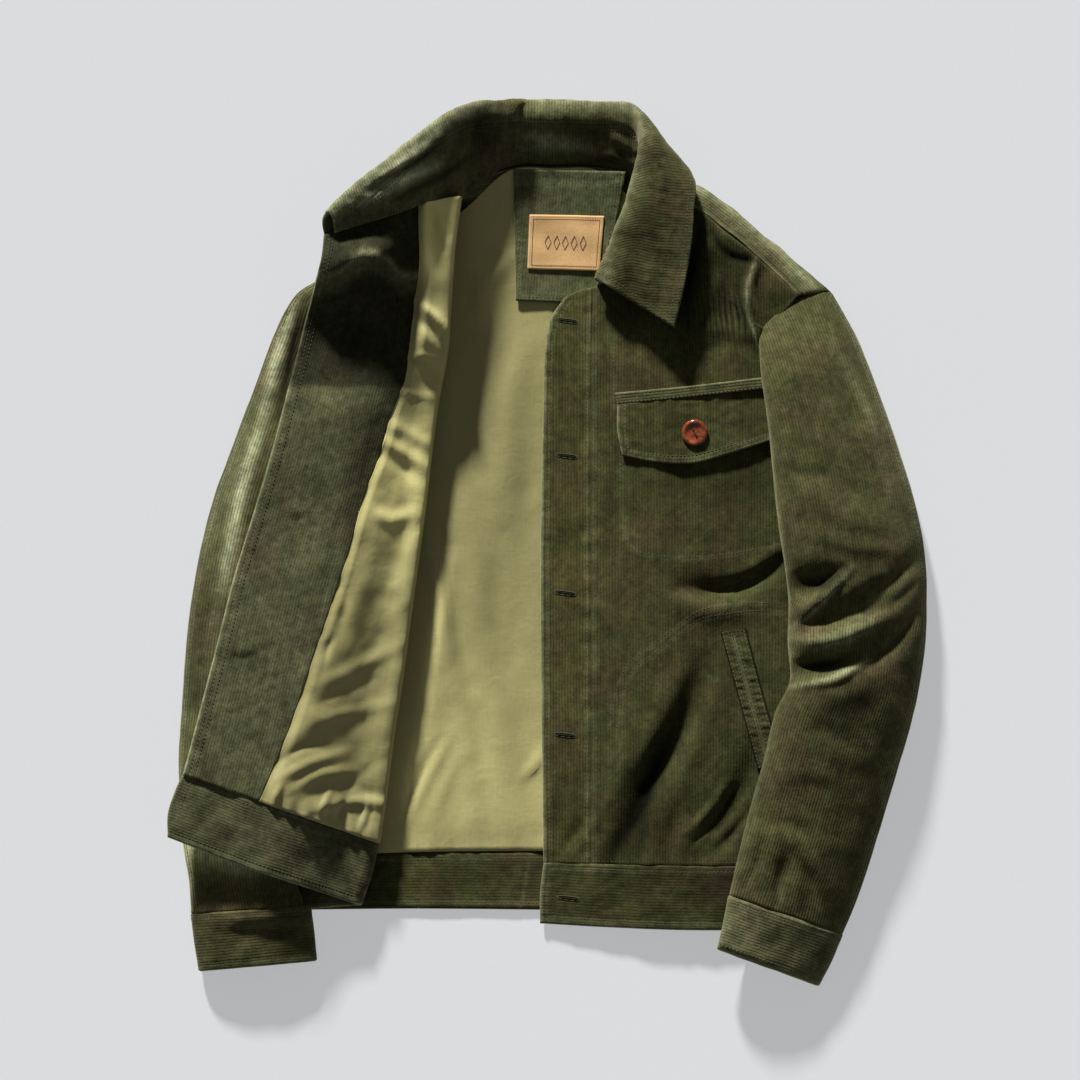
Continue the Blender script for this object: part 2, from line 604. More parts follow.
def waves(x, y, seed, length, count, stretch=1.0):
    """Smooth uneven relief, mostly within -1 to 1: seeded sine waves of about this length, drawn out along y
    by stretch."""
    rng = np.random.default_rng(seed)
    total = np.zeros(np.shape(x))
    for _ in range(count):
        turn, phase = rng.uniform(0, 2 * np.pi, 2)
        pace = 2 * np.pi / length * rng.uniform(0.6, 1.5)
        total = total + np.sin(pace * (np.cos(turn) * x + np.sin(turn) * y / stretch) + phase)
    return total / np.sqrt(count)


def rippled(z, name, x, y):
    """z with the small uneven waves of a cloth added."""
    for height, *settings in RIPPLES[name]:
        z = z + height * waves(x, y, *settings)
    return z


def near_line(line, x, y, steps=24):
    """Distance of plan points from a line, and how far along it they are, in millimetres."""
    spine = curve(line, even(steps + 1))
    near = np.full(np.shape(x), FAR_AWAY)
    along = np.zeros(np.shape(x))
    start = 0.0
    for a, b in zip(spine[:-1], spine[1:]):
        step = b - a
        size = np.hypot(*step)
        far, t = to_segment(x, y, a, step, size**2)
        along = np.where(far < near, start + t * size, along)
        near = np.minimum(near, far)
        start += size
    return near, along


def sewn(lines, x, y, depth, seed):
    """Relief of stitched seams: a thin groove under the thread and small uneven puckers beside it."""
    total = np.zeros(np.shape(x))
    for number, line in enumerate(lines):
        far, along = near_line(line, x, y)
        total = total - depth * bell(far, SEWN_GROOVE)
        ripple = waves(along, far * 0.4, seed + number, PUCKER_LENGTH, 6)
        total = total + 0.5 * depth * ripple * bell(far, PUCKER_REACH)
    return total


def worn(lines, x, y, width=1.6):
    """Share of wear beside the lines: 1 on them, fading over the width."""
    total = np.zeros(np.shape(x))
    for line in lines:
        far, _ = near_line(line, x, y)
        total = np.maximum(total, bell(far, width))
    return total


def lines_at(points, distance):
    """A copy of a plan line, moved to its left by a distance."""
    p = np.asarray(points, float)
    way = unit(np.gradient(p, axis=0))
    return p + np.stack([-way[:, 1], way[:, 0]], axis=1) * distance


def grooves(far, places, depth):
    """Depth of rows of stitches that run at these distances from an edge."""
    return sum(depth * bell(far - place, GROOVE) for place in places)


# ---------------------------------------------------------------- cloth

# A turned-in hem keeps its extra thickness this far in from the edge, then fades over as much.
HEM_TURN = 4.0
# How far the rounded rim of a cloth stands out, in walls.
RIM_OUT = 0.42

# How finely each cloth is meshed: columns (of the side welts, on each side of the slot), rows.
CELLS = {
    "back": (80, 72), "back_waistband": (200, 22), "back_lining": (105, 155), "neck_patch": (64, 78),
    "neck_label": (60, 46), "yoke": (170, 48), "left_front": (112, 226), "left_placket": (34, 226),
    "left_waistband": (150, 32), "chest_welt": (150, 16), "chest_flap": (110, 52), "side_welts": (90, 12),
    "sleeve_top": (88, 205), "sleeve_under": (46, 110), "cuff": (128, 30),
}


def arc(grid, axis):
    """Way along each line of a grid on this axis, from its start."""
    step = np.linalg.norm(np.diff(grid, axis=axis), axis=2)
    first = np.zeros((1, grid.shape[1]) if axis == 0 else (grid.shape[0], 1))
    return np.concatenate([first, np.cumsum(step, axis=axis)], axis=axis)


def wales_up(grid, centre=0.5):
    """Grain of cloth whose wales run up the grid: across and along, in wales, from a column."""
    across, along = arc(grid, 1), arc(grid, 0)
    k = int(centre * (grid.shape[1] - 1))
    return (across - across[:, k : k + 1]) / WALE, np.broadcast_to(along[:, k : k + 1], across.shape) / WALE


def wales_across(grid, centre=0.0):
    """Grain of cloth whose wales run across the grid."""
    across, along = arc(grid, 1), arc(grid, 0)
    k = int(centre * (grid.shape[0] - 1))
    return (along - along[k : k + 1]) / WALE, np.broadcast_to(across[k : k + 1], along.shape) / WALE


def outward(border, inner):
    """Directions from the line beside a border to the border."""
    return unit(border - inner, TINY)


def edge_distance(grid, wrap):
    """About how far the points of a grid are from its nearest edge."""
    rows, cols = grid.shape[:2]
    i = np.minimum(np.arange(rows), np.arange(rows)[::-1])[:, None]
    far = i * arc(grid, 0)[-1].mean() / rows
    if wrap:
        return far
    j = np.minimum(np.arange(cols), np.arange(cols)[::-1])[None, :]
    return np.minimum(far, j * arc(grid, 1)[:, -1].mean() / cols)


def borders(grid, index, cells, wrap):
    """The open edges of a grid, each as point numbers, directions outwards and grain: two if it wraps."""
    if wrap:
        return ((index[0], outward(grid[0], grid[1]), cells[0]),
                (index[-1][::-1], outward(grid[-1], grid[-2]), cells[-1][::-1]))
    out = np.zeros_like(grid)
    out[0] += outward(grid[0], grid[1])
    out[-1] += outward(grid[-1], grid[-2])
    out[:, 0] += outward(grid[:, 0], grid[:, 1])
    out[:, -1] += outward(grid[:, -1], grid[:, -2])
    edge = np.concatenate([index[0, :-1], index[:-1, -1], index[-1, :0:-1], index[:0:-1, 0], index[:1, 0]])
    return ((edge, out.reshape(-1, 3)[edge[:-1]], cells.reshape(-1, 2)[edge]),)


def cloth(name, grid, wall, look, grain, wrap=False, normals=None, wear=None, shade=None, hem=0.0):
    """A closed wall of cloth either side of a grid of middle points, with rounded edges. hem thickens them by
    so many millimetres where the cloth is turned in."""
    rows, cols = grid.shape[:2]
    normals = normals_of(grid, wrap) if normals is None else normals
    thick = np.full((rows, cols, 1), wall)
    if hem:
        thick = thick + (hem * (1 - ease((edge_distance(grid, wrap) - HEM_TURN) / HEM_TURN)))[..., None]
    top = grid + normals * thick / 2
    low = grid - normals * wall / 2
    index = np.arange(rows * cols).reshape(rows, cols)
    if wrap:
        index = np.concatenate([index, index[:, :1]], axis=1)
    cells = np.stack(grain, axis=-1)
    quads, corners = [], []

    def add(a, b, c, d, at):
        quads.append(np.stack([a, b, c, d], axis=-1).reshape(-1, 4))
        corners.append(np.stack(at, axis=-2).reshape(-1, 4, 2))

    def around(values):
        return values[:-1, :-1], values[:-1, 1:], values[1:, 1:], values[1:, :-1]

    a, b, c, d = around(index)
    ca, cb, cc, cd = around(cells)
    size = rows * cols
    add(a, b, c, d, (ca, cb, cc, cd))
    add(a + size, d + size, c + size, b + size, (ca, cd, cc, cb))
    points = [top.reshape(-1, 3), low.reshape(-1, 3)]
    start = 2 * size
    owners = [index[:, :cols].reshape(-1), index[:, :cols].reshape(-1)]
    for ring, out, at in borders(grid, index, cells, wrap):
        count = len(ring) - 1
        points.append(grid.reshape(-1, 3)[ring[:-1]] + out * wall * RIM_OUT)
        owners.append(ring[:-1])
        rim = start + np.concatenate([np.arange(count), [0]])
        start += count
        beside = (at[:-1], at[1:], at[1:], at[:-1])
        add(ring[:-1] + size, ring[1:] + size, rim[1:], rim[:-1], beside)
        add(rim[:-1], rim[1:], ring[1:], ring[:-1], beside)
    points, quads, owners = np.concatenate(points), np.concatenate(quads), np.concatenate(owners)
    points[:, 2] = np.maximum(points[:, 2], 0.0)
    made = mesh_object(name, points, quads, look)
    layer = made.data.uv_layers.new(name="grain")
    layer.data.foreach_set("uv", np.concatenate(corners).astype(np.float32).reshape(-1))
    for field, values in (("wear", wear), ("shade", shade)):
        values = np.zeros((rows, cols)) if values is None else np.broadcast_to(values, (rows, cols))
        attribute = made.data.attributes.new(field, "FLOAT", "POINT")
        attribute.data.foreach_set("value", values.reshape(-1)[owners].astype(np.float32))
    return made


def mesh_object(name, points, faces, look):
    """An object of faces that all have the same number of corners, placed in the row frame."""
    faces = np.asarray(faces)
    mesh = bpy.data.meshes.new(name)
    placed = (np.asarray(points, float) - FRAME_ORIGIN) * MM
    mesh.vertices.add(len(placed))
    mesh.vertices.foreach_set("co", placed.astype(np.float32).reshape(-1))
    mesh.loops.add(faces.size)
    mesh.loops.foreach_set("vertex_index", faces.astype(np.int32).reshape(-1))
    mesh.polygons.add(len(faces))
    mesh.polygons.foreach_set("loop_start", (np.arange(len(faces)) * faces.shape[1]).astype(np.int32))
    mesh.update(calc_edges=True)
    mesh.validate()
    mesh.polygons.foreach_set("use_smooth", [True] * len(mesh.polygons))
    mesh.materials.append(LOOK[look])
    made = bpy.data.objects.new(name, mesh)
    bpy.context.scene.collection.objects.link(made)
    return made


# ---------------------------------------------------------------- dressing


def dress(piece, node, slot, flat=None, area=None, held="laid", rests_on=(), with_pieces=()):
    """The piece rides on the one body and takes the node's place and finish. With a flat size it is cloth."""
    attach(piece, "root")
    if node:
        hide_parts(node)


# ---------------------------------------------------------------- stitches

# Length of a stitch, its distance from the next, radius and sides of its thread.
STITCH = 2.7
STITCH_PITCH = 3.5
THREAD = 0.30
THREAD_SIDES = 5
# Sections along a stitch: share of its length, share of its radius, rise in radii.
STITCH_SECTIONS = ((-0.5, 0.0, -0.9), (-0.3, 0.8, 0.1), (0.0, 1.0, 0.55), (0.3, 0.8, 0.1), (0.5, 0.0, -0.9))
# Half the step over which a direction or a slope is read.
AHEAD = 0.4
SLOPE_STEP = 0.6
# The thread round a buttonhole, and the dark slit in it.
BUTTONHOLE_THREAD = {"pitch": 0.62, "length": 2.4, "radius": 0.30}
BUTTONHOLE_SLIT = {"pitch": 5.0, "length": 9.0, "radius": 0.75}


def stitches(points, normals, pitch=STITCH_PITCH, length=STITCH, radius=THREAD):
    """Short threads along a line on a surface, bowed up with their ends in the cloth: points, triangles."""
    way = way_along(points)
    count = max(int(way[-1] / pitch), 1)
    middle = (np.arange(count) + 0.5) * way[-1] / count

    def at(place, values):
        return np.stack([np.interp(place, way, values[:, k]) for k in range(3)], axis=1)

    turn = 2 * np.pi * np.arange(THREAD_SIDES) / THREAD_SIDES
    rings = []
    for share, thick, rise in STITCH_SECTIONS:
        place = middle + share * length
        centre, up = at(place, points), at(place, normals)
        side = unit(np.cross(at(place + AHEAD, points) - at(place - AHEAD, points), up), TINY)
        centre = centre + up * rise * radius
        if thick == 0.0:
            rings.append(centre[:, None])
            continue
        spoke = np.cos(turn)[None, :, None] * side[:, None] + np.sin(turn)[None, :, None] * up[:, None]
        rings.append(centre[:, None] + spoke * radius * thick)
    one = np.concatenate(rings, axis=1)
    per = one.shape[1]
    faces = []
    for k in range(THREAD_SIDES):
        n = (k + 1) % THREAD_SIDES
        faces.append((0, 1 + n, 1 + k))
        for ring in range(2):
            a = 1 + ring * THREAD_SIDES
            b = a + THREAD_SIDES
            faces.extend(((a + k, a + n, b + n), (a + k, b + n, b + k)))
        a = 1 + 2 * THREAD_SIDES
        faces.append((a + k, a + n, per - 1))
    faces = np.asarray(faces)[None] + (np.arange(count) * per)[:, None, None]
    return one.reshape(-1, 3), faces.reshape(-1, 3)


def sew(name, runs, look="thread", slot="corduroy", **sizes):
    """All the stitches of these runs, (points, normals) each, as one piece. Gives back its name."""
    points, faces, start = [], [], 0
    for line, normals in runs:
        p, f = stitches(np.asarray(line), np.asarray(normals), **sizes)
        points.append(p)
        faces.append(f + start)
        start += len(p)
    dress(mesh_object(name, np.concatenate(points), np.concatenate(faces), look), None, slot)
    return name


def run_over(height, line, lift, count=60):
    """A run of points on a surface of this height over a plan line, lifted along its normals."""
    flat = curve(line, even(count))
    x, y = xy(flat)
    d = SLOPE_STEP
    slope_x = (height(x + d, y) - height(x - d, y)) / (2 * d)
    slope_y = (height(x, y + d) - height(x, y - d)) / (2 * d)
    normal = unit(np.stack([-slope_x, -slope_y, np.ones_like(x)], axis=1))
    return np.column_stack([flat, height(x, y)]) + normal * lift, normal


def run_on(grid, lift, rows, cols, count=80, wrap=False):
    """A run of points on a grid, between row and column shares given at its two ends (or more places)."""
    n, m = grid.shape[:2]
    share = even(count)
    r = np.interp(share, even(len(rows)), rows) * (n - 1)
    c = np.interp(share, even(len(cols)), cols) * (m if wrap else m - 1)
    i, j = np.minimum(r.astype(int), n - 2), np.minimum(c.astype(int), m - 1 if wrap else m - 2)
    fr, fc = (r - i)[:, None], (c - j)[:, None]
    jn = (j + 1) % m

    def at(values):
        low = values[i, j] * (1 - fc) + values[i, jn] * fc
        high = values[i + 1, j] * (1 - fc) + values[i + 1, jn] * fc
        return low * (1 - fr) + high * fr

    normal = unit(at(normals_of(grid, wrap)))
    return at(grid) + normal * lift, normal


def rows_on(grid, lift, rows, count, cols=(0.0, 1.0), wrap=False):
    """Runs along a grid at these row shares."""
    return [run_on(grid, lift, (row, row), cols, count, wrap) for row in rows]


# ---------------------------------------------------------------- looks


class Tree:
    """The nodes of one material, added by short calls."""

    def __init__(self, name):
        self.material = bpy.data.materials.new(name)
        self.material.use_nodes = True
        self.nodes = self.material.node_tree.nodes
        self.links = self.material.node_tree.links
        self.shader = self.nodes["Principled BSDF"]

    def add(self, kind, inputs=(), **settings):
        node = self.nodes.new(kind)
        for key, value in settings.items():
            setattr(node, key, value)
        for key, value in dict(inputs).items():
            self.put(node.inputs[key], value)
        return node

    def put(self, socket, value):
        if hasattr(value, "is_output"):
            self.links.new(value, socket)
        else:
            socket.default_value = value

    def math(self, operation, a, b=0.0):
        node = self.nodes.new("ShaderNodeMath")
        node.operation = operation
        self.put(node.inputs[0], a)
        self.put(node.inputs[1], b)
        return node.outputs[0]

    def times(self, a, b):
        return self.math("MULTIPLY", a, b)

    def plus(self, a, b):
        return self.math("ADD", a, b)

    def noise(self, vector, scale, detail=2.0, rough=0.5, distortion=0.0):
        node = self.add("ShaderNodeTexNoise", {"Vector": vector, "Scale": scale, "Detail": detail,
                                               "Roughness": rough, "Distortion": distortion})
        return node.outputs["Fac"]

    def spread(self, value, low, high, to_low, to_high):
        node = self.add("ShaderNodeMapRange", {"Value": value, "From Min": low, "From Max": high,
                                               "To Min": to_low, "To Max": to_high})
        return node.outputs["Result"]

    def blend(self, share, a, b):
        node = self.add("ShaderNodeMix", data_type="RGBA")
        self.put(node.inputs[0], share)
        self.put(node.inputs[6], a)
        self.put(node.inputs[7], b)
        return node.outputs[2]

    def scaled(self, colour, share):
        node = self.add("ShaderNodeVectorMath", operation="SCALE")
        self.put(node.inputs[0], colour)
        self.put(node.inputs["Scale"], share)
        return node.outputs["Vector"]

    def field(self, name):
        return self.add("ShaderNodeAttribute", attribute_name=name).outputs["Fac"]

    def lit(self):
        """Share of the light that the painted shade leaves."""
        return self.math("SUBTRACT", 1.0, self.field("shade"))

    def grain(self):
        node = self.add("ShaderNodeUVMap", uv_map="grain")
        split = self.add("ShaderNodeSeparateXYZ", {0: node.outputs[0]})
        return split.outputs[0], split.outputs[1]

    def grain_noise(self, u, v, *settings):
        """Noise stretched along the grain."""
        place = self.add("ShaderNodeCombineXYZ", {"X": u, "Y": v, "Z": 0.0}).outputs[0]
        return self.noise(place, 1.0, *settings)

    def place(self):
        return self.add("ShaderNodeTexCoord").outputs["Object"]

    def finish(self, colour, roughness, bump=None, **constants):
        self.put(self.shader.inputs["Base Color"], colour)
        self.put(self.shader.inputs["Roughness"], roughness)
        for key, value in constants.items():
            self.shader.inputs[key.replace("_", " ")].default_value = value
        if bump is not None:
            node = self.add("ShaderNodeBump", {"Height": bump, "Distance": MM, "Strength": 1.0})
            self.links.new(node.outputs[0], self.shader.inputs["Normal"])
        return self.material


def corduroy(name, olive, brown, relief=0.32, wash=1.0, groove=0.40):
    """Washed corduroy: raised wales with dark grooves, streaks along them, and uneven greenish and brown dye.
    relief is the height of the wales, wash how uneven the dye is, groove how dark the grooves are."""
    t = Tree(name)
    u, v = t.grain()
    place = t.place()
    wander = t.grain_noise(t.times(u, 0.05), t.times(v, 0.08), 2.0)
    across = t.plus(u, t.times(wander, 0.8))
    ridge = t.math("ABSOLUTE", t.math("SINE", t.times(across, np.pi)))
    crown = t.math("POWER", ridge, 0.55)
    streak = t.grain_noise(t.times(u, 0.45), t.times(v, 0.07), 3.0, 0.6)
    fibre = t.grain_noise(t.times(u, 2.4), t.times(v, 1.1), 2.0, 0.6)
    blotch = t.noise(place, 26.0, 4.0, 0.62)
    cloud = t.noise(place, 21.0, 3.0, 0.55)
    speck = t.noise(place, 150.0, 3.0, 0.7)
    hue = t.spread(cloud, 0.46, 0.70, 0.0, 1.0)
    dye = t.blend(hue, (*olive, 1.0), (*brown, 1.0))
    value = t.spread(crown, 0.15, 1.0, 1.0 - groove, 1.0 + 0.38 * groove)
    value = t.times(value, t.spread(blotch, 0.3, 0.7, 1.0 - 0.30 * wash, 1.0 + 0.34 * wash))
    value = t.times(value, t.spread(streak, 0.3, 0.7, 0.84, 1.18))
    value = t.times(value, t.spread(speck, 0.3, 0.7, 0.66, 1.38))
    value = t.times(value, t.spread(fibre, 0.3, 0.7, 0.80, 1.22))
    wear = t.field("wear")
    dye = t.blend(t.math("MINIMUM", t.times(wear, 0.12), 0.5), dye, WORN_DYE)
    value = t.times(value, t.plus(t.times(wear, 0.45), 1.0))
    value = t.times(value, t.lit())
    height = t.times(crown, relief)
    height = t.plus(height, t.times(fibre, 0.22))
    height = t.plus(height, t.times(speck, 0.36))
    t.put(t.shader.inputs["Sheen Weight"], t.times(t.lit(), 0.22))
    return t.finish(t.scaled(dye, value), 0.92, height, Specular_IOR_Level=0.08, Sheen_Roughness=0.45,
                    Sheen_Tint=(0.84, 0.82, 0.46, 1.0))


def satin(name, colour, deep):
    """Smooth lining with a fine twill, slight sheen and small uneven wrinkles."""
    t = Tree(name)
    u, v = t.grain()
    place = t.place()
    twill = t.math("SINE", t.times(t.plus(u, v), 26.0))
    slub = t.grain_noise(t.times(u, 2.6), t.times(v, 0.12), 2.0)
    cross = t.grain_noise(t.times(u, 0.12), t.times(v, 2.6), 2.0)
    soft = t.noise(place, 22.0, 3.0, 0.55)
    wrinkle = t.noise(place, 75.0, 2.0, 0.5, 0.6)
    dye = t.blend(t.spread(soft, 0.35, 0.65, 0.0, 1.0), (*colour, 1.0), (*deep, 1.0))
    value = t.times(t.spread(slub, 0.3, 0.7, 0.95, 1.05), t.spread(cross, 0.3, 0.7, 0.96, 1.04))
    value = t.times(value, t.lit())
    value = t.times(value, t.plus(t.times(t.field("wear"), 0.2), 1.0))
    height = t.plus(t.times(twill, 0.02), t.times(wrinkle, 0.35))
    height = t.plus(height, t.times(soft, 0.5))
    return t.finish(t.scaled(dye, value), 0.52, height, Specular_IOR_Level=0.42, Sheen_Weight=0.25,
                    Sheen_Roughness=0.3, Sheen_Tint=(1.0, 0.98, 0.8, 1.0))


def woven(name, colour, deep):
    """A tightly woven label."""
    t = Tree(name)
    u, v = t.grain()
    weave = t.times(t.math("SINE", t.times(u, 24.0)), t.math("SINE", t.times(v, 24.0)))
    soft = t.noise(t.place(), 60.0, 3.0)
    dye = t.blend(t.spread(soft, 0.35, 0.65, 0.0, 1.0), (*colour, 1.0), (*deep, 1.0))
    value = t.times(t.spread(weave, -1.0, 1.0, 0.94, 1.05), t.lit())
    height = t.plus(t.times(weave, 0.04), t.times(soft, 0.3))
    return t.finish(t.scaled(dye, value), 0.7, height, Specular_IOR_Level=0.3, Sheen_Weight=0.15)


def thread(name, colour):
    """Twisted sewing thread."""
    t = Tree(name)
    place = t.place()
    twist = t.add("ShaderNodeTexWave", {"Vector": place, "Scale": 700.0, "Distortion": 2.0},
                  bands_direction="DIAGONAL").outputs["Fac"]
    fade = t.noise(place, 30.0, 3.0)
    value = t.times(t.spread(twist, 0.0, 1.0, 0.8, 1.1), t.spread(fade, 0.3, 0.7, 0.7, 1.2))
    return t.finish(t.scaled(colour, value), 0.8, t.times(twist, 0.08), Specular_IOR_Level=0.2,
                    Sheen_Weight=0.2)


def tortoise(name):
    """Glossy button material: brown-red with amber and dark clouds."""
    t = Tree(name)
    place = t.place()
    cloud = t.noise(place, 120.0, 3.0, 0.55, 1.2)
    vein = t.noise(place, 300.0, 2.0, 0.5, 2.0)
    dye = t.blend(t.spread(cloud, 0.38, 0.62, 0.0, 1.0), (0.10, 0.017, 0.008, 1.0), (0.34, 0.072, 0.016, 1.0))
    value = t.spread(vein, 0.3, 0.7, 0.8, 1.15)
    return t.finish(t.scaled(dye, value), 0.16, t.times(vein, 0.03), Specular_IOR_Level=0.6,
                    Coat_Weight=0.6, Coat_Roughness=0.08)


def paper(name):
    """The pale surface below."""
    t = Tree(name)
    fine = t.noise(t.place(), 300.0, 2.0)
    broad = t.noise(t.place(), 1.2, 2.0)
    value = t.times(t.spread(fine, 0.3, 0.7, 0.985, 1.015), t.spread(broad, 0.3, 0.7, 0.99, 1.01))
    return t.finish(t.scaled((0.335, 0.339, 0.347), value), 0.9, None, Specular_IOR_Level=0.1,
                    Emission_Color=(0.965, 0.980, 1.0, 1.0), Emission_Strength=0.425)


# Dyes, as linear colours: of the sleeves and trims, deeper on the fronts, and where the nap is worn.
OLIVE, BROWN = (0.060, 0.060, 0.0215), (0.069, 0.053, 0.0235)
DEEP_OLIVE, DEEP_BROWN = (0.043, 0.045, 0.0140), (0.050, 0.039, 0.0155)
WORN_DYE = (0.40, 0.43, 0.27, 1.0)

LOOK = {
    "corduroy": corduroy("corduroy", OLIVE, BROWN),
    "front": corduroy("front_corduroy", DEEP_OLIVE, DEEP_BROWN, 0.27, 1.0, 0.30),
    "placket": corduroy("placket_corduroy", (0.052, 0.051, 0.0155), (0.056, 0.045, 0.0165), 0.27, 1.0, 0.30),
    "band": corduroy("band_corduroy", DEEP_OLIVE, DEEP_BROWN, 0.14, 1.2, 0.25),
    "trim": corduroy("trim_corduroy", OLIVE, BROWN, 0.18, 1.2, 0.30),
    "facing": corduroy("facing_corduroy", (0.078, 0.080, 0.037), (0.083, 0.071, 0.037), 0.16, 1.1, 0.26),
    "patch": corduroy("patch_corduroy", (0.078, 0.088, 0.038), (0.086, 0.080, 0.040), 0.18, 0.8, 0.16),
    "lining": satin("lining_satin", (0.380, 0.345, 0.138), (0.345, 0.310, 0.122)),
    "label": woven("label_weave", (0.760, 0.470, 0.200), (0.700, 0.420, 0.170)),
    "thread": thread("olive_thread", (0.090, 0.086, 0.042)),
    "brown_thread": thread("brown_thread", (0.110, 0.045, 0.018)),
    "pale_thread": thread("pale_thread", (0.62, 0.40, 0.19)),
    "button": tortoise("tortoise"),
    "slit": corduroy("slit_shadow", (0.012, 0.012, 0.007), (0.012, 0.011, 0.006)),
    "paper": paper("paper"),
}


# ---------------------------------------------------------------- creases, wear and shade

# Finer folds over those of the solids: start x, y; middle x, y; end x, y; half width; height.
FRONT_CREASES = (
    (118, -40, 160, -41, 206, -16, 6, -4.6),
    (150, -30, 175, -26, 204, -4, 6, 2.6),
    (110, -48, 140, -58, 178, -46, 9, 1.6),
    (137, -102, 101, -188, 54, -290, 10, -5.2),
    (86, -130, 66, -190, 52, -246, 10, 2.6),
    (150, -128, 128, -186, 104, -240, 9, 1.8),
    (168, -214, 152, -240, 130, -263, 2.4, -3.0),
    (160, -208, 144, -234, 124, -254, 4, 2.2),
    (186, -224, 172, -246, 150, -272, 5, -2.4),
    (178, -226, 164, -246, 142, -268, 4, 1.4),
    (44, -236, 26, -256, 6, -280, 6, -1.4),
    (52, -228, 38, -252, 20, -276, 6, 1.4),
    (126, 186, 152, 191, 184, 184, 8, 2.0),
    (130, 168, 156, 174, 188, 170, 7, -1.6),
    (112, 266, 146, 262, 178, 250, 16, 3.6),
    (146, 272, 160, 254, 184, 247, 3.6, -2.6),
    (152, 280, 170, 266, 190, 256, 6, 2.6),
    (187, 252, 180, 227, 189, 182, 3.2, 4.2),
    (178, 246, 171, 222, 180, 190, 5, -3.0),
    (198, 240, 200, 225, 204, 208, 11, 2.4),
    (126, 292, 133, 270, 139, 244, 6, -5.0),
    (160, 246, 150, 226, 140, 206, 8, 1.6),
    (112, 232, 120, 216, 124, 196, 7, -1.4),
    (60, -60, 84, -100, 80, -150, 12, 1.2),
    (70, 10, 110, -12, 150, -14, 9, 0.9),
    (60, 60, 66, 30, 70, 0, 6, -0.8),
    (46, -100, 50, -150, 46, -200, 9, -1.2),
    (196, -206, 206, -236, 204, -262, 6, -2.0),
    (120, -246, 122, -262, 120, -280, 5, 1.4),
    (90, -250, 86, -266, 84, -282, 5, -1.4),
    (140, 60, 150, 30, 160, 4, 8, -1.0),
    (50, 150, 60, 176, 78, 196, 8, 1.0),
    (176, -66, 190, -110, 204, -160, 5, 1.6),
)
BAND_CREASES = (
    (60, -292, 66, -310, 62, -330, 9, -0.8),
    (150, -292, 156, -308, 150, -330, 10, 0.8),
    (100, -292, 96, -310, 98, -330, 11, 0.5),
)
LEFT_SLEEVE_CREASES = (
    (220, -29, 238, -32, 258, -24, 6, -6.5),
    (221, -38, 225, -46, 232, -54, 5, -4.0),
    (212, -76, 232, -56, 268, -22, 4, 4.6),
    (236, -70, 260, -57, 292, -34, 6, -5.0),
    (218, -84, 250, -86, 292, -66, 6, 3.4),
    (220, -106, 242, -108, 264, -102, 4.2, -6.5),
    (276, -108, 300, -92, 324, -62, 4, -3.4),
    (222, -122, 248, -121, 282, -104, 4, 3.4),
    (286, -52, 306, -40, 326, -18, 5, 2.4),
    (282, -66, 304, -54, 326, -34, 4.5, -3.2),
    (236, 60, 262, 48, 300, 30, 9, -1.4),
    (232, 10, 266, -2, 312, -6, 8, 2.2),
    (214, -166, 240, -164, 276, -180, 8, -1.6),
    (206, -206, 236, -200, 262, -214, 9, 1.4),
    (192, -244, 214, -246, 240, -262, 8, -1.4),
    (196, 110, 216, 96, 246, 92, 8, 1.6),
    (204, 70, 226, 60, 252, 62, 7, -1.4),
    (262, 170, 282, 120, 296, 70, 8, 1.6),
    (258, 150, 268, 110, 276, 60, 7, -1.2),
    (176, -300, 186, -280, 190, -256, 5, -2.0),
    (236, -320, 232, -296, 226, -276, 5, -2.0),
    (224, -318, 220, -298, 218, -282, 4, 1.6),
    (204, -316, 204, -296, 206, -282, 4, -1.6),
)
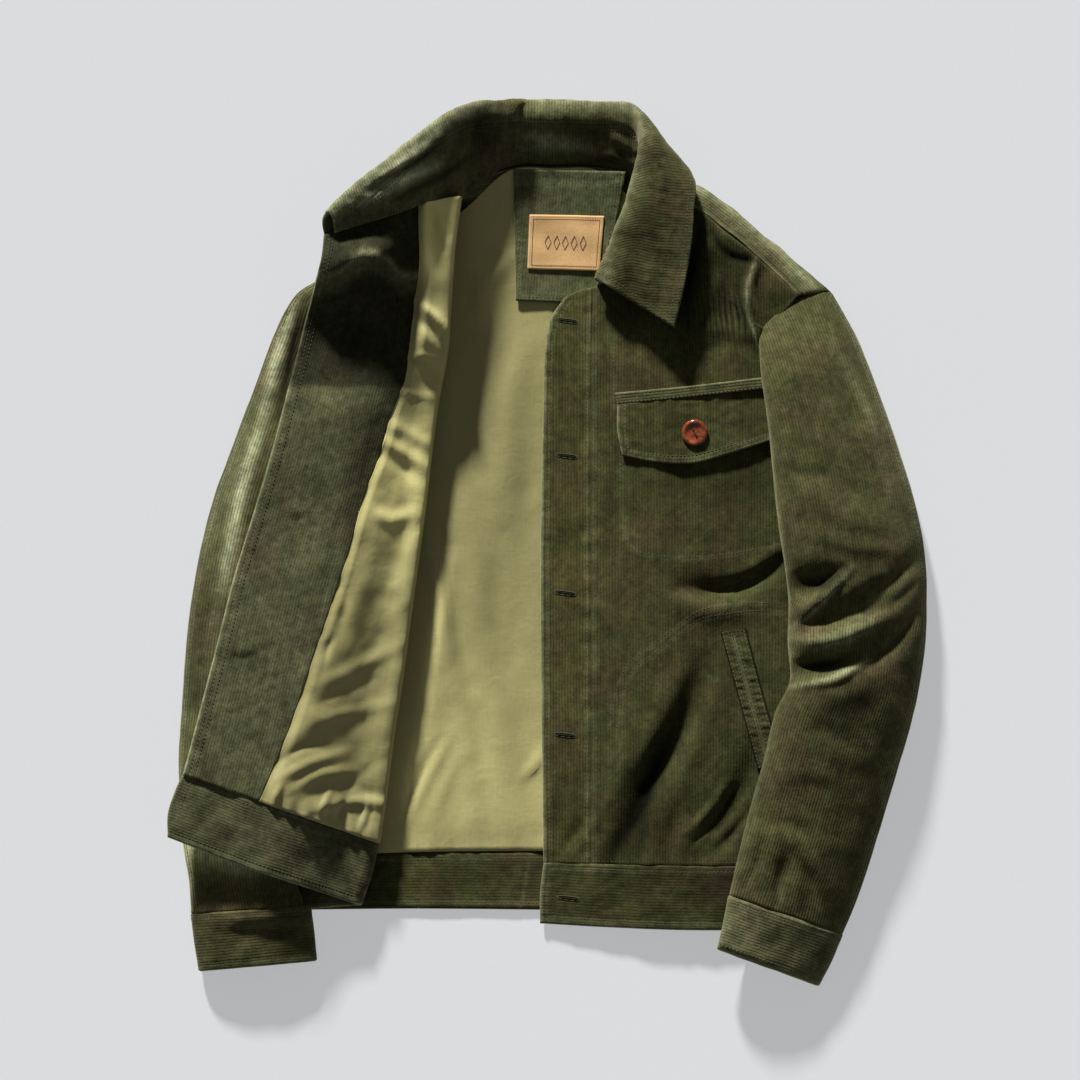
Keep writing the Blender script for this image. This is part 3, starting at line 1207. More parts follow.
RIGHT_FRONT_CREASES = (
    (-186, -30, -176, -48, -181, -72, 5, -1.2),
    (-194, -100, -191, -88, -188, -84, 4, -1.6),
    (-203, -126, -160, -106, -118, -86, 6.5, 1.25),
    (-206, -143, -178, -130, -150, -118, 4, -0.7),
    (-230, -175, -206, -159, -137, -141, 6.5, 1.35),
    (-234, -192, -216, -180, -190, -174, 3.6, -1.2),
    (-236, -208, -206, -192, -178, -184, 5, 1.8),
    (-216, -227, -194, -213, -140, -220, 5, -0.8),
    (-222, -216, -198, -203, -168, -200, 4.5, 1.4),
    (-196, -222, -168, -206, -138, -186, 6, -0.7),
    (-206, -234, -170, -226, -128, -232, 4.5, 2.2),
    (-239, -228, -236, -220, -232, -210, 3, 1.6),
    (-198, -238, -194, -228, -190, -218, 3, 1.6),
    (-184, -242, -180, -234, -176, -224, 3, -1.6),
    (-164, -252, -160, -242, -156, -230, 3, 1.6),
    (-101, 302, -96, 280, -90, 258, 3.4, -3.0),
    (-109, 300, -107, 268, -101, 238, 5, 2.6),
    (-116, 203, -101, 188, -85, 166, 4.0, -2.0),
    (-114, 214, -99, 201, -86, 186, 4, 2.6),
    (-127, 163, -108, 165, -93, 160, 3.6, 1.6),
    (-127, 153, -108, 155, -93, 150, 4, -0.6),
    (-136, 138, -116, 131, -100, 128, 3.0, 1.5),
    (-138, 104, -118, 96, -98, 82, 5, 1.2),
    (-152, 96, -130, 82, -104, 66, 5, 1.5),
    (-154, 84, -132, 70, -110, 56, 5, -0.7),
    (-152, 30, -138, 20, -118, 26, 6, 1.8),
    (-120, 40, -124, 10, -132, -30, 9, -1.6),
    (-224, 24, -218, 20, -212, 24, 3, -1.8),
    (-226, 31, -219, 28, -212, 31, 4, 1.8),
    (-276, -98, -266, -102, -256, -98, 3, -1.8),
    (-276, -91, -266, -94, -256, -91, 4, 1.6),
    (-206, 96, -214, 60, -220, 20, 2.6, 1.2),
    (-240, -40, -236, -80, -246, -130, 14, 0.8),
    (-264, -90, -262, -140, -276, -190, 12, -0.8),
    (-150, 0, -164, -50, -176, -92, 10, 1.6),
)
# The hump of the facing below the collar, the dips above and below it.
ARCH_CREASES = (
    (-198, 234, -160, 253, -127, 224, 5, 5.0),
    (-194, 262, -162, 272, -126, 264, 8, -4.5),
    (-188, 218, -158, 234, -134, 210, 8, -2.5),
)
FLIPPED_BAND_CREASES = (
    (-300, -222, -304, -240, -310, -256, 8, 0.7),
    (-236, -250, -240, -268, -246, -286, 9, 0.8),
    (-200, -262, -206, -280, -210, -300, 8, -0.8),
)
RIGHT_SLEEVE_CREASES = (
    (-218, 212, -234, 172, -248, 117, 7, 2.6),
    (-204, 214, -211, 178, -219, 136, 5, -5.0),
    (-248, 117, -269, 38, -285, -50, 9, 2.4),
    (-284, 70, -296, 30, -304, -10, 7, 1.0),
    (-316, -60, -300, -70, -284, -64, 6, 0.9),
    (-318, -100, -304, -108, -286, -104, 6, -0.9),
    (-322, -170, -306, -166, -290, -170, 6, 0.9),
    (-308, -300, -300, -280, -302, -258, 5, 1.2),
    (-286, -318, -284, -296, -288, -276, 5, -1.4),
    (-268, -318, -268, -300, -264, -282, 5, 1.2),
    (-238, -318, -236, -300, -240, -284, 5, -1.2),
)
LINING_CREASES = (
    (-101, 3, -92, -60, -82, -130, 7, 2.4),
    (-96, 14, -80, -60, -66, -125, 8, -2.6),
    (-66, -125, -56, -180, -42, -258, 8, -2.4),
    (-80, -120, -72, -180, -62, -250, 8, 1.6),
    (-52, 30, -34, -60, -10, -150, 10, -1.5),
    (-90, -170, -108, -200, -130, -248, 3.6, -3.6),
    (-84, -166, -101, -196, -122, -240, 5, 2.4),
    (-98, -238, -90, -216, -76, -186, 5, 1.4),
    (-34, 250, -50, 232, -58, 196, 8, 3.6),
    (-20, 176, -34, 120, -30, 60, 12, 2.2),
    (-62, 200, -70, 120, -84, 40, 12, -2.4),
    (-74, 338, -66, 322, -72, 304, 3.4, -3.0),
    (-32, 336, -52, 322, -75, 305, 3.4, -3.0),
    (-44, 342, -58, 330, -68, 316, 4, 2.4),
    (-2, -180, -10, -196, -20, -206, 3, 2.4),
    (-44, -150, -30, -200, -22, -262, 9, 1.2),
)
COLLAR_RIDGES = (
    (-146, 321, -120, 336, -91, 347, 5, 2.2),
    (-156, 298, -134, 310, -113, 318, 5, 2.0),
    (-155, 309, -124, 326, -92, 342, 4, -2.6),
    (-136, 300, -122, 308, -110, 316, 4, -2.2),
    (-60, 360, -66, 340, -73, 305, 6, -2.6),
    (-32, 340, -52, 322, -75, 303, 5, -2.0),
    (-46, 352, -56, 330, -66, 312, 5, 2.2),
    (54, 360, 66, 354, 78, 347, 5, 2.6),
    (20, 350, 44, 346, 66, 338, 6, 2.2),
    (-20, 344, 10, 350, 40, 352, 7, -1.6),
    (-20, 368, 10, 372, 44, 370, 8, 1.4),
    (104, 330, 98, 290, 88, 250, 8, 1.2),
    (118, 300, 112, 260, 104, 220, 7, -1.2),
    (96, 256, 92, 240, 84, 222, 7, 1.2),
    (60, 258, 76, 240, 96, 214, 6, 1.2),
)

# Where the nap is worn pale: start x, y; middle x, y; end x, y; half width; strength.
RIGHT_SLEEVE_GLOW = (
    (-219, 211, -234, 170, -248, 117, 5, 2.2),
    (-246, 122, -266, 50, -284, -40, 6.5, 2.2),
    (-284, -40, -296, -100, -302, -160, 9, 0.3),
    (-262, 110, -284, 40, -300, -40, 14, 0.3),
    (-316, -252, -262, -268, -200, -286, 15, 4.4),
)
LEFT_SLEEVE_GLOW = (
    (211, -78, 233, -60, 270, -20, 2.6, 1.5),
    (214, -126, 246, -120, 284, -102, 2.6, 1.6),
    (218, -84, 250, -86, 292, -66, 7, 0.8),
    (252, 178, 284, 110, 306, 30, 5, 0.6),
)
COLLAR_GLOW = (
    (-162, 298, -126, 319, -92, 334, 5.5, 2.5),
    (-164, 312, -130, 333, -100, 356, 4.5, 2.2),
    (-20, 358, 14, 352, 46, 344, 8, 1.6),
)
# The bright rim of the fold from the shoulder down to the sleeve.
FRONT_RIM = ((187, 256, 176.5, 223, 190, 162, 1.4, 1.7),)

# Hollows that light hardly reaches: start x, y; middle x, y; end x, y; half width; share of the light lost
# (gained where it is negative).
LINING_SHADE = (
    (-86, 0, -84, -60, -76, -118, 7, 0.24),
    (-62, 20, -50, -60, -38, -160, 9, 0.18),
    (-24, 60, -30, -60, -44, -170, 6, 0.10),
    (-112, -190, -124, -220, -134, -252, 5, 0.20),
    (-30, -150, -24, -200, -10, -250, 12, 0.08),
    (-12, 150, -22, 60, -16, -40, 9, 0.10),
    (-84, -6, -98, -84, -109, -153, 5.5, -1.0),
    (-109, -153, -119, -200, -126, -244, 4.5, -0.9),
)
COLLAR_SHADE = (
    (-152, 313, -112, 337, -80, 366, 4.0, 0.7),
    (-128, 304, -98, 319, -66, 340, 4.0, 0.65),
    (-66, 390, -58, 362, -62, 336, 17, 0.65),
    (28, 340, 52, 338, 76, 346, 6, 0.5),
)
FLAP_SHADE = (
    (-103, 300, -97, 276, -88, 252, 4, 0.20),
    (-108, 262, -104, 246, -102, 232, 7, -1.5),
    (-116, 206, -102, 190, -90, 168, 4.5, 0.40),
    (-128, 168, -116, 160, -104, 158, 3, 0.25),
    (-150, 84, -130, 74, -106, 62, 4, 0.25),
    (-196, -112, -170, -98, -140, -84, 5, 0.10),
    (-214, -164, -196, -150, -160, -136, 4, 0.14),
    (-228, -204, -208, -188, -176, -176, 4, 0.16),
    (-206, -232, -178, -222, -146, -214, 4, 0.25),
)
RIGHT_SLEEVE_SHADE = (
    (-213, 218, -222, 176, -235, 112, 4.6, 0.95),
    (-222, 112, -232, 60, -240, 20, 4, 0.45),
    (-304, -30, -308, -90, -310, -150, 11, 0.38),
    (-320, -266, -292, -278, -262, -286, 13, -2.0),
)
LEFT_SLEEVE_SHADE = (
    (216, -34, 234, -38, 262, -25, 6, 0.8),
    (215, -110, 238, -108, 268, -101, 5.5, 0.8),
    (211, -72, 232, -56, 258, -34, 3, 0.5),
    (232, -140, 262, -140, 294, -122, 10, 0.5),
    (214, 112, 223, 76, 228, 40, 14, -0.22),
    (244, -220, 226, -262, 214, -300, 20, -0.15),
)
FRONT_SHADE = (
    (144, 278, 158, 254, 188, 248, 4.2, 0.85),
    (177, 252, 169, 222, 181, 172, 5, 0.45),
    (138, 292, 131, 250, 119, 192, 8, 0.7),
    (129, 270, 124, 240, 118, 215, 6, 0.4),
    (170, -212, 158, -232, 142, -256, 3, 0.6),
    (137, -102, 101, -188, 44, -300, 9, 0.5),
    (100, -180, 84, -232, 62, -282, 15, 0.62),
    (149, 238, 157, 216, 158, 192, 9, 0.5),
    (56, 172, 92, 162, 126, 160, 13, -0.4),
    (202, -190, 192, -236, 180, -290, 14, 0.4),
)
# The largest share of the light that shade takes.
DARKEST = 0.92
# Shade of the back lining along the body: y, then share of the light lost.
LINING_FADE = ((-270, -200, -60, 120, 230, 330), (-0.34, -0.30, 0.05, 0.06, -0.10, -0.35))

# Sewn lines and seams in plan.
POCKET_LINE = ((66, 78), (66.5, 40), (68, 14), (76, -4), (94, -10), (130, -12), (168, -8), (204, -1))
SIDE_POCKET_ARC = ((56, -162), (62, -129), (72, -106), (92, -90), (114, -73), (136, -58.5), (156, -55),
                   (179, -52), (207, -53))
INNER_POCKET_ARC = lines_at(SIDE_POCKET_ARC, -7.0)
CHEST_SEAM = ((59, 180), (59.5, 150), (60, 122))
PLACKET_SEAM_X = 39.0
FRONT_HEM = ((100, -283.5), (166, -284))
FRONT_HEM_Y = -284.0
FRONT_HEM_STITCHES = ((42, -279.5), (100, -280), (166, -280.5), (256, -276.5))
BACK_BAND_SEAM = ((-14, -276), (-18, -296), (-22, -320))
RIGHT_HEM_LINE = ((-252, -226), (-224, -240), (-190, -250), (-148, -263))
# Distances of rows of stitches from the edge of their piece.
YOKE_STITCHES = (3.0, 8.0)
STAND_STITCHES = (2.0, 5.0)
LEAF_STITCHES = 6.0
SLEEVE_STITCHES = 3.0

# Rows or columns lie closer together towards one edge by this power.
CLOSER = 1.25
# How far the left front goes on under the head of its sleeve.
UNDER_SLEEVE_HEAD = 18.0
# Diamonds in the label's row.
DIAMONDS = 5
# Buttonholes: their centres, half their length and width, and how far they drop from one end to the middle.
BUTTONHOLES = ((18.5, 196), (18.5, 77), (17, -43.5), (17, -168.5))
BAND_BUTTONHOLE = (20, -312)
BUTTONHOLE_HALF = 9.5
BUTTONHOLE_SIDE = 1.7
BUTTONHOLE_DROP = 1.2
# Half section of the turned button: share of its radius, height over its middle.
TURNED_SECTION = ((0.0, 0.2), (0.30, 0.22), (0.56, 0.42), (0.66, 0.95), (0.74, 1.55), (0.83, 1.85),
                  (0.92, 1.70), (0.985, 1.1), (1.0, 0.4), (0.97, -0.4), (0.88, -0.95), (0.60, -1.15),
                  (0.0, -1.2))
TURNED_SIDES = 72
# Turn of the line through its two holes in degrees, and each hole's distance from the middle.
HOLES_TURN = 64
HOLE_AT = 2.4

# Right front: rows, and columns below the fold, round it, to the facing and across the facing. Then the
# columns of right_rows where the fold starts and ends, the fine columns between which it is pressed, and the
# first one that has a lining.
RIGHT_ROWS = 185
RIGHT_COLUMNS = (10, 40, 60, 60)
BAND_ROWS = 30
BAND_COLUMNS = (12, 50, 70, 60)
FOLD_COLUMNS = (5, 11)
PRESSED_COLUMNS = (30, 54)
LINING_START = 8
# How far the lining between the facing and the fold stands up near the shoulder.
PANEL_LIFT = 14.0
# The top of the facing's hump below the collar: x, then y.
ARCH_LINE = ((-198, -181, -169, -161, -149, -138, -128), (234, 238, 248.6, 254, 254.8, 248.6, 235.4))

# Where the seams of the sleeves run round them (0 is the inner edge, 1 the outer), and half the gap in them.
INNER_SEAM = 0.045
OUTER_SEAM = 0.92
CLOSE_TURN = 0.002
# How far the head of the top sleeve dips to the armhole seam and goes on into it, and the reach of both.
CAP_DROP = 1.0
CAP_OUT = 3.0
CAP_REACH = 5.0
# The wear all over each cuff.
CUFF_WEAR = {"left": 0.6, "right": 0.05}

# Collar: rows of the stand, of the leaf and of the stand's foot, and columns.
STAND_ROWS = 26
LEAF_ROWS = 43
FOOT_ROWS = 8
COLLAR_COLUMNS = 260
# How far the free edge of the left half of the collar stands off the front.
LEAF_LIFT = 2.5

# Key light, as a sun: strength, and angles and spread in degrees. Then the sky, the camera in metres, and the
# floor in millimetres.
KEY_STRENGTH = 7.2
KEY_ELEVATION = 19.0
KEY_AZIMUTH = 106.0
KEY_SPREAD = 5.5
SKY_STRENGTH = 0.13
SKY_COLOUR = (0.93, 0.96, 1.0, 1.0)
SENSOR = 36.0
CAMERA_HEIGHT = 16.0
VIEW_WIDTH = 0.9504
VIEW_CENTRE = (-0.00708, 0.00233)
FLOOR_HALF = 4000.0
FLOOR_Z = -0.3


def front_surface(x, y):
    """Middle of the left front with its creases, seams and small waves."""
    z = left_front_height(x, y) + folds(FRONT_CREASES, x, y)
    z = z + sewn((POCKET_LINE, SIDE_POCKET_ARC, INNER_POCKET_ARC, CHEST_SEAM), x, y, 0.34, 5)
    seam = bell(x - PLACKET_SEAM_X, 9.0) * waves(y, x * 0.3, 21, 26.0, 8) * 0.4
    hem = bell(y - FRONT_HEM_Y, 14.0) * waves(x, y * 0.4, 22, 21.0, 8) * 0.55
    return rippled(z + seam + hem, "left_front", x, y)


def band_surface(x, y):
    """Middle of the left waistband."""
    z = left_front_height(x, y) + BAND_STEP + folds(BAND_CREASES, x, y)
    return rippled(z, "left_waistband", x, y)


def lining_surface(x, y):
    """Middle of the back lining. Its folds fade out where the left front covers it."""
    z = back_inner_height(y) + LAY_GAP + LINING_WALL / 2
    seen = ease((14.0 - x) / 12.0)
    soft = folds(BACK_LINING_FOLDS, x, y) + folds(LINING_CREASES, x, y) * seen
    soft = rippled(soft, "back_lining", x, y)
    near_hem = bell(y + 270.0, 12.0) * waves(x, y * 0.3, 43, 19.0, 8) * 0.5
    return z + np.maximum(soft + near_hem + 0.7 + 1.6 * seen * ease((y + 272.0) / 30.0), 0.0)


def back_scene():
    """The back, its waistband and its lining."""
    flat = plan_for("back", BACK_HEM, BACK_TOP, BACK_RIGHT, BACK_LEFT)
    grid = raised(flat, lambda x, y: 0 * x + SHELL_WALL / 2)
    piece = cloth("back_cloth", grid, SHELL_WALL, "corduroy", wales_up(grid))
    dress(piece, "back", "corduroy", (0.57, 0.50), 0.245)

    top = [(x, y - SEAM_GAP) for x, y in BACK_HEM]
    right, left = (BACK_BAND_HEM[0], top[0]), (BACK_BAND_HEM[-1], top[-1])
    flat = plan_for("back_waistband", BACK_BAND_HEM, top, right, left)
    x, y = xy(flat)
    lines = (lines_at(BACK_BAND_HEM, 4.5), lines_at(top, -4.0), BACK_BAND_SEAM)
    grid = raised(flat, lambda x, y: BAND_WALL / 2 + 0 * x)
    lift = np.maximum(rippled(0.0, "back_waistband", x, y) + sewn(lines, x, y, 0.3, 7), -0.5)
    grid[..., 2] += lift * 0.6 + 0.3
    piece = cloth("back_waistband_cloth", grid, BAND_WALL, "band", wales_across(grid),
                  wear=worn(lines, x, y) * 0.4, hem=0.3)
    runs = rows_on(grid, BAND_WALL / 2, (0.10, 0.91), 200)
    extra = (sew("back_waistband_thread", runs),)
    dress(piece, "back_waistband", "corduroy", (0.48, 0.048), with_pieces=extra)

    flat = plan_for("back_lining", LINING_HEM, LINING_TOP, LINING_RIGHT, LINING_LEFT)
    grid = raised(flat, lining_surface)
    fade = np.interp(flat[..., 1], *LINING_FADE) + folds(LINING_SHADE, *xy(flat))
    piece = cloth("back_lining_cloth", grid, LINING_WALL, "lining", wales_up(grid), shade=fade)
    dress(piece, "back_lining", "lining", (0.50, 0.605), 0.262, rests_on=("back_cloth",))


def neck_scene():
    """The patch below the neck and the label on it, with its woven border and row of diamonds."""
    patch_lift = LINING_WALL / 2 + LAY_GAP + TRIM_WALL / 2 + 0.5
    label_lift = patch_lift + TRIM_WALL / 2 + LAY_GAP + LABEL_WALL / 2

    def under(x, y):
        z = back_inner_height(y) + LAY_GAP + LINING_WALL / 2 + 2.3
        return rippled(z + np.maximum(folds(BACK_LINING_FOLDS, x, y), 0.0), "neck", x, y)

    flat = four_corners(NECK_PATCH, *CELLS["neck_patch"])
    x, y = xy(flat)
    grid = moved(raised(flat, under), patch_lift)
    grid[..., 2] += 0.7 * ease((232 - y) / 16.0)
    ur, ul, lr, ll = NECK_PATCH
    lines = (((ur[0] + 3, ur[1]), (lr[0] + 3, lr[1] + 3)),
             ((lr[0] + 3, lr[1] + 3.5), (ll[0] - 3, ll[1] + 3.5)),
             ((ul[0] - 3, ul[1]), (ll[0] - 3, ll[1] + 3)))
    grid[..., 2] += sewn(lines, x, y, 0.3, 62)
    wear = worn(lines, x, y) * 0.3 + 0.45 * ease((y - 312) / 5.0)
    piece = cloth("neck_patch_cloth", grid, TRIM_WALL, "patch", wales_up(grid), wear=wear, hem=0.5)
    lift = TRIM_WALL / 2 + 0.2
    runs = [run_on(grid, lift, (1.0, 0.03), (0.035, 0.035), 120),
            run_on(grid, lift, (0.03, 0.03), (0.03, 0.97), 90),
            run_on(grid, lift, (0.03, 1.0), (0.965, 0.965), 120)]
    dress(piece, "neck_patch", "corduroy", (0.098, 0.115), rests_on=("back_lining_cloth",),
          with_pieces=(sew("neck_patch_thread", runs),))

    flat = four_corners(NECK_LABEL, *CELLS["neck_label"])
    grid = moved(raised(flat, under), label_lift)
    grid[..., 2] += rippled(0.0, "neck_label", *xy(flat)) + 0.2
    piece = cloth("neck_label_cloth", grid, LABEL_WALL, "label", wales_up(grid), hem=0.25)
    lift = LABEL_WALL / 2 + 0.05
    near, far = (0.07, 0.93), (0.05, 0.95)
    border = [run_on(grid, lift, rows, cols, 80) for rows, cols in (
        ((near[0], near[0]), far), (near, (far[1], far[1])), ((near[1], near[1]), far[::-1]),
        (near[::-1], (far[0], far[0])))]
    marks = []
    for k in range(DIAMONDS):
        middle = 0.26 + 0.12 * k
        points = ((0.37, middle), (0.5, middle + 0.042), (0.63, middle), (0.5, middle - 0.042))
        for a, b in ((0, 1), (1, 2), (2, 3), (3, 0)):
            marks.append(run_on(grid, lift, (points[a][0], points[b][0]), (points[a][1], points[b][1]), 12))
    tacks = rows_on(grid, lift, (0.975, 0.025), 60, (0.03, 0.97))
    extra = (
        sew("neck_label_border_thread", border, "brown_thread", "label", pitch=1.5, length=1.45, radius=0.34),
        sew("neck_label_diamond_thread", marks, "brown_thread", "label", pitch=1.3, length=1.3, radius=0.34),
        sew("neck_label_edge_thread", tacks, "pale_thread", "label", pitch=2.2, length=1.8, radius=0.22),
    )
    dress(piece, "neck_label", "label", (0.065, 0.048), rests_on=("neck_patch_cloth",), with_pieces=extra)


def yoke_scene():
    """The yoke over both shoulders, its front edge raised to the left front where they meet."""
    columns, rows = CELLS["yoke"]
    sections = stations(YOKE, columns).reshape(columns, 4, 3)
    grid = np.transpose(np.array([curve(line, even(rows) ** CLOSER) for line in sections]), (1, 0, 2))
    x, y = xy(grid)
    lift = rippled(0.0, "yoke", x, y)
    edge = arc(grid, 0)
    seam = -grooves(edge, YOKE_STITCHES, 0.4)
    grid = grid + normals_of(grid) * (lift * ease((grid[..., 2] - 2.0) / 6.0) + seam)[..., None]
    near = ease((grid[0, :, 0] - 100.0) / 12.0) * ease(1 - edge / 22.0)
    step = front_surface(grid[0, :, 0] - 1.0, grid[0, :, 1] - 1.5) - grid[0, :, 2]
    shift = np.stack([np.full_like(step, -0.5), np.full_like(step, -0.8), step - 0.2], axis=-1)
    grid += near[..., None] * shift
    grid[..., 2] = np.maximum(grid[..., 2], SHELL_WALL / 2)
    wear = 0.5 * bell(edge, 2.2) + 0.35 * bell(edge - YOKE_STITCHES[1], 2.0)
    wear = wear + 1.0 * bell(edge - 17.0, 6.0)
    wear = wear + 1.0 * spot(x, y, (-60.0, 322.0), (16.0, 16.0))
    piece = cloth("yoke_cloth", grid, SHELL_WALL, "corduroy", wales_across(grid), wear=wear, hem=0.5)
    runs = []
    for distance in YOKE_STITCHES:
        share = np.array([np.interp(distance, edge[:, j], even(rows)) for j in range(columns)])
        runs.append(run_on(grid, SHELL_WALL / 2, share, even(columns), 420))
    dress(piece, "yoke", "corduroy", (0.565, 0.150), 0.058, rests_on=("back_cloth",),
          with_pieces=(sew("yoke_thread", runs),))


def buttonhole(height, centre, lift):
    """The ring of thread round a buttonhole, and its slit, which drops a little to the left."""
    cx, cy = centre
    turn = np.linspace(0, 2 * np.pi, 90)
    long = np.sign(np.cos(turn)) * np.abs(np.cos(turn)) ** 0.5 * BUTTONHOLE_HALF
    wide = np.sin(turn) * BUTTONHOLE_SIDE
    x = cx + long
    y = cy + wide - long / BUTTONHOLE_HALF * BUTTONHOLE_DROP
    points = np.column_stack([x, y, height(x, y) + lift])
    normal = np.zeros_like(points)
    normal[:, 2] = 1.0
    slit_x = np.linspace(cx - BUTTONHOLE_HALF + 1.5, cx + BUTTONHOLE_HALF - 1.5, 24)
    slit_y = cy - (slit_x - cx) / BUTTONHOLE_HALF * BUTTONHOLE_DROP
    slit = np.column_stack([slit_x, slit_y, height(slit_x, slit_y) + lift - 0.1])
    return (points, normal), (slit, normal[:24])


def buttonholes(name, height, centres, lift):
    """The thread and the slits of these buttonholes, as two pieces."""
    rings, slits = zip(*(buttonhole(height, centre, lift) for centre in centres))
    return (sew(name + "_thread", rings, **BUTTONHOLE_THREAD),
            sew(name + "_slit", slits, "slit", **BUTTONHOLE_SLIT))


def left_front_scene():
    """The left front, its placket with four buttonholes and its waistband with one."""
    columns, rows = CELLS["left_front"]
    seam = [(x + SEAM_GAP, y) for x, y in PLACKET_SEAM]
    hem = (seam[0], *FRONT_HEM, LEFT_FRONT_SIDE[0])
    side = curve(LEFT_FRONT_SIDE, even(61))
    under = ease((side[:, 1] - 102.0) / 14.0) * ease((183.0 - side[:, 1]) / 9.0)
    side[:, 0] += 3.0 * np.maximum(1 - ((side[:, 1] - 182.0) / 34.0) ** 2, 0.0) + UNDER_SLEEVE_HEAD * under
    flat = plan(hem, LEFT_FRONT_TOP, seam, side, 1 - (1 - even(columns)) ** CLOSER, even(rows))
    x, y = xy(flat)
    lines = (POCKET_LINE, SIDE_POCKET_ARC, INNER_POCKET_ARC, CHEST_SEAM, lines_at(seam, -3.5))
    bands = 0.5 + 0.5 * np.sin(2 * np.pi * (x + 0.12 * y) / 4.9 + 1.2 * waves(x, y, 13, 40.0, 12))
    bands = 0.62 * bands * spot(x, y, (158.0, 198.0), (34.0, 27.0))
    shade = np.minimum(folds(FRONT_SHADE, x, y) + bands, DARKEST)
    wear = worn(lines, x, y, 2.0) * 0.3 + folds(FRONT_RIM, x, y)
    piece = cloth("left_front_cloth", raised(flat, front_surface), SHELL_WALL, "front", (x / WALE, y / WALE),
                  wear=wear, shade=shade, hem=0.5)
    lift = SHELL_WALL / 2 + 0.02
    runs = [run_over(front_surface, line, lift, 160) for line in (*lines, FRONT_HEM_STITCHES)]
    dress(piece, "left_front", "corduroy", (0.30, 0.60), 0.132, rests_on=("back_lining_cloth",),
          with_pieces=(sew("left_front_thread", runs),))

    foot, top = (CENTRE_EDGE[0], PLACKET_SEAM[0]), (CENTRE_EDGE[-1], (30, 222), PLACKET_SEAM[-1])
    flat = plan_for("left_placket", foot, top, CENTRE_EDGE, PLACKET_SEAM)
    x, y = xy(flat)
    lines = lines_at(CENTRE_EDGE, -4.5), lines_at(PLACKET_SEAM, 3.0)

    def on_placket(x, y):
        return front_surface(x, y) + sewn(lines, x, y, 0.34, 81)

    wear = np.maximum(worn((CENTRE_EDGE,), x, y, 1.8), worn(lines, x, y) * 0.5)
    piece = cloth("left_placket_cloth", raised(flat, on_placket), BAND_WALL, "placket", (x / WALE, y / WALE),
                  wear=wear, hem=0.3)
    lift = BAND_WALL / 2 + 0.1
    extra = (sew("left_placket_thread", [run_over(on_placket, line, lift, 220) for line in lines]),
             *buttonholes("left_placket_buttonhole", on_placket, BUTTONHOLES, lift))
    dress(piece, "left_placket", "corduroy", (0.042, 0.500), rests_on=("back_lining_cloth",),
          with_pieces=extra)

    top = (CENTRE_EDGE[0], PLACKET_SEAM[0], *FRONT_HEM, LEFT_FRONT_SIDE[0])
    top = [(x, y - HEM_SEAM_GAP) for x, y in top]
    left = (LEFT_BAND_HEM[0], (-4, -308), top[0])
    right = (LEFT_BAND_HEM[-1], (257, -306), top[-1])
    columns, rows = CELLS["left_waistband"]
    flat = plan(LEFT_BAND_HEM, top, left, right, 1 - (1 - even(columns)) ** CLOSER, even(rows))
    x, y = xy(flat)
    band_lines = (lines_at(LEFT_BAND_HEM, 5.0), lines_at(top, -3.5), lines_at(left, -5.0))

    def on_band(x, y):
        return band_surface(x, y) + sewn(band_lines, x, y, 0.34, 91)

    wear = np.maximum(worn((LEFT_BAND_HEM, left), x, y, 1.8), worn(band_lines, x, y) * 0.5)
    grid = raised(flat, on_band)
    piece = cloth("left_waistband_cloth", grid, BAND_WALL, "band", wales_across(grid), wear=wear,
                  shade=0.12 + 0.30 * ease((x - 120.0) / 60.0), hem=0.3)
    extra = (sew("left_waistband_thread", [run_over(on_band, line, lift, 200) for line in band_lines]),
             *buttonholes("left_waistband_buttonhole", on_band, (BAND_BUTTONHOLE,), lift))
    dress(piece, "left_waistband", "corduroy", (0.262, 0.054), with_pieces=extra)


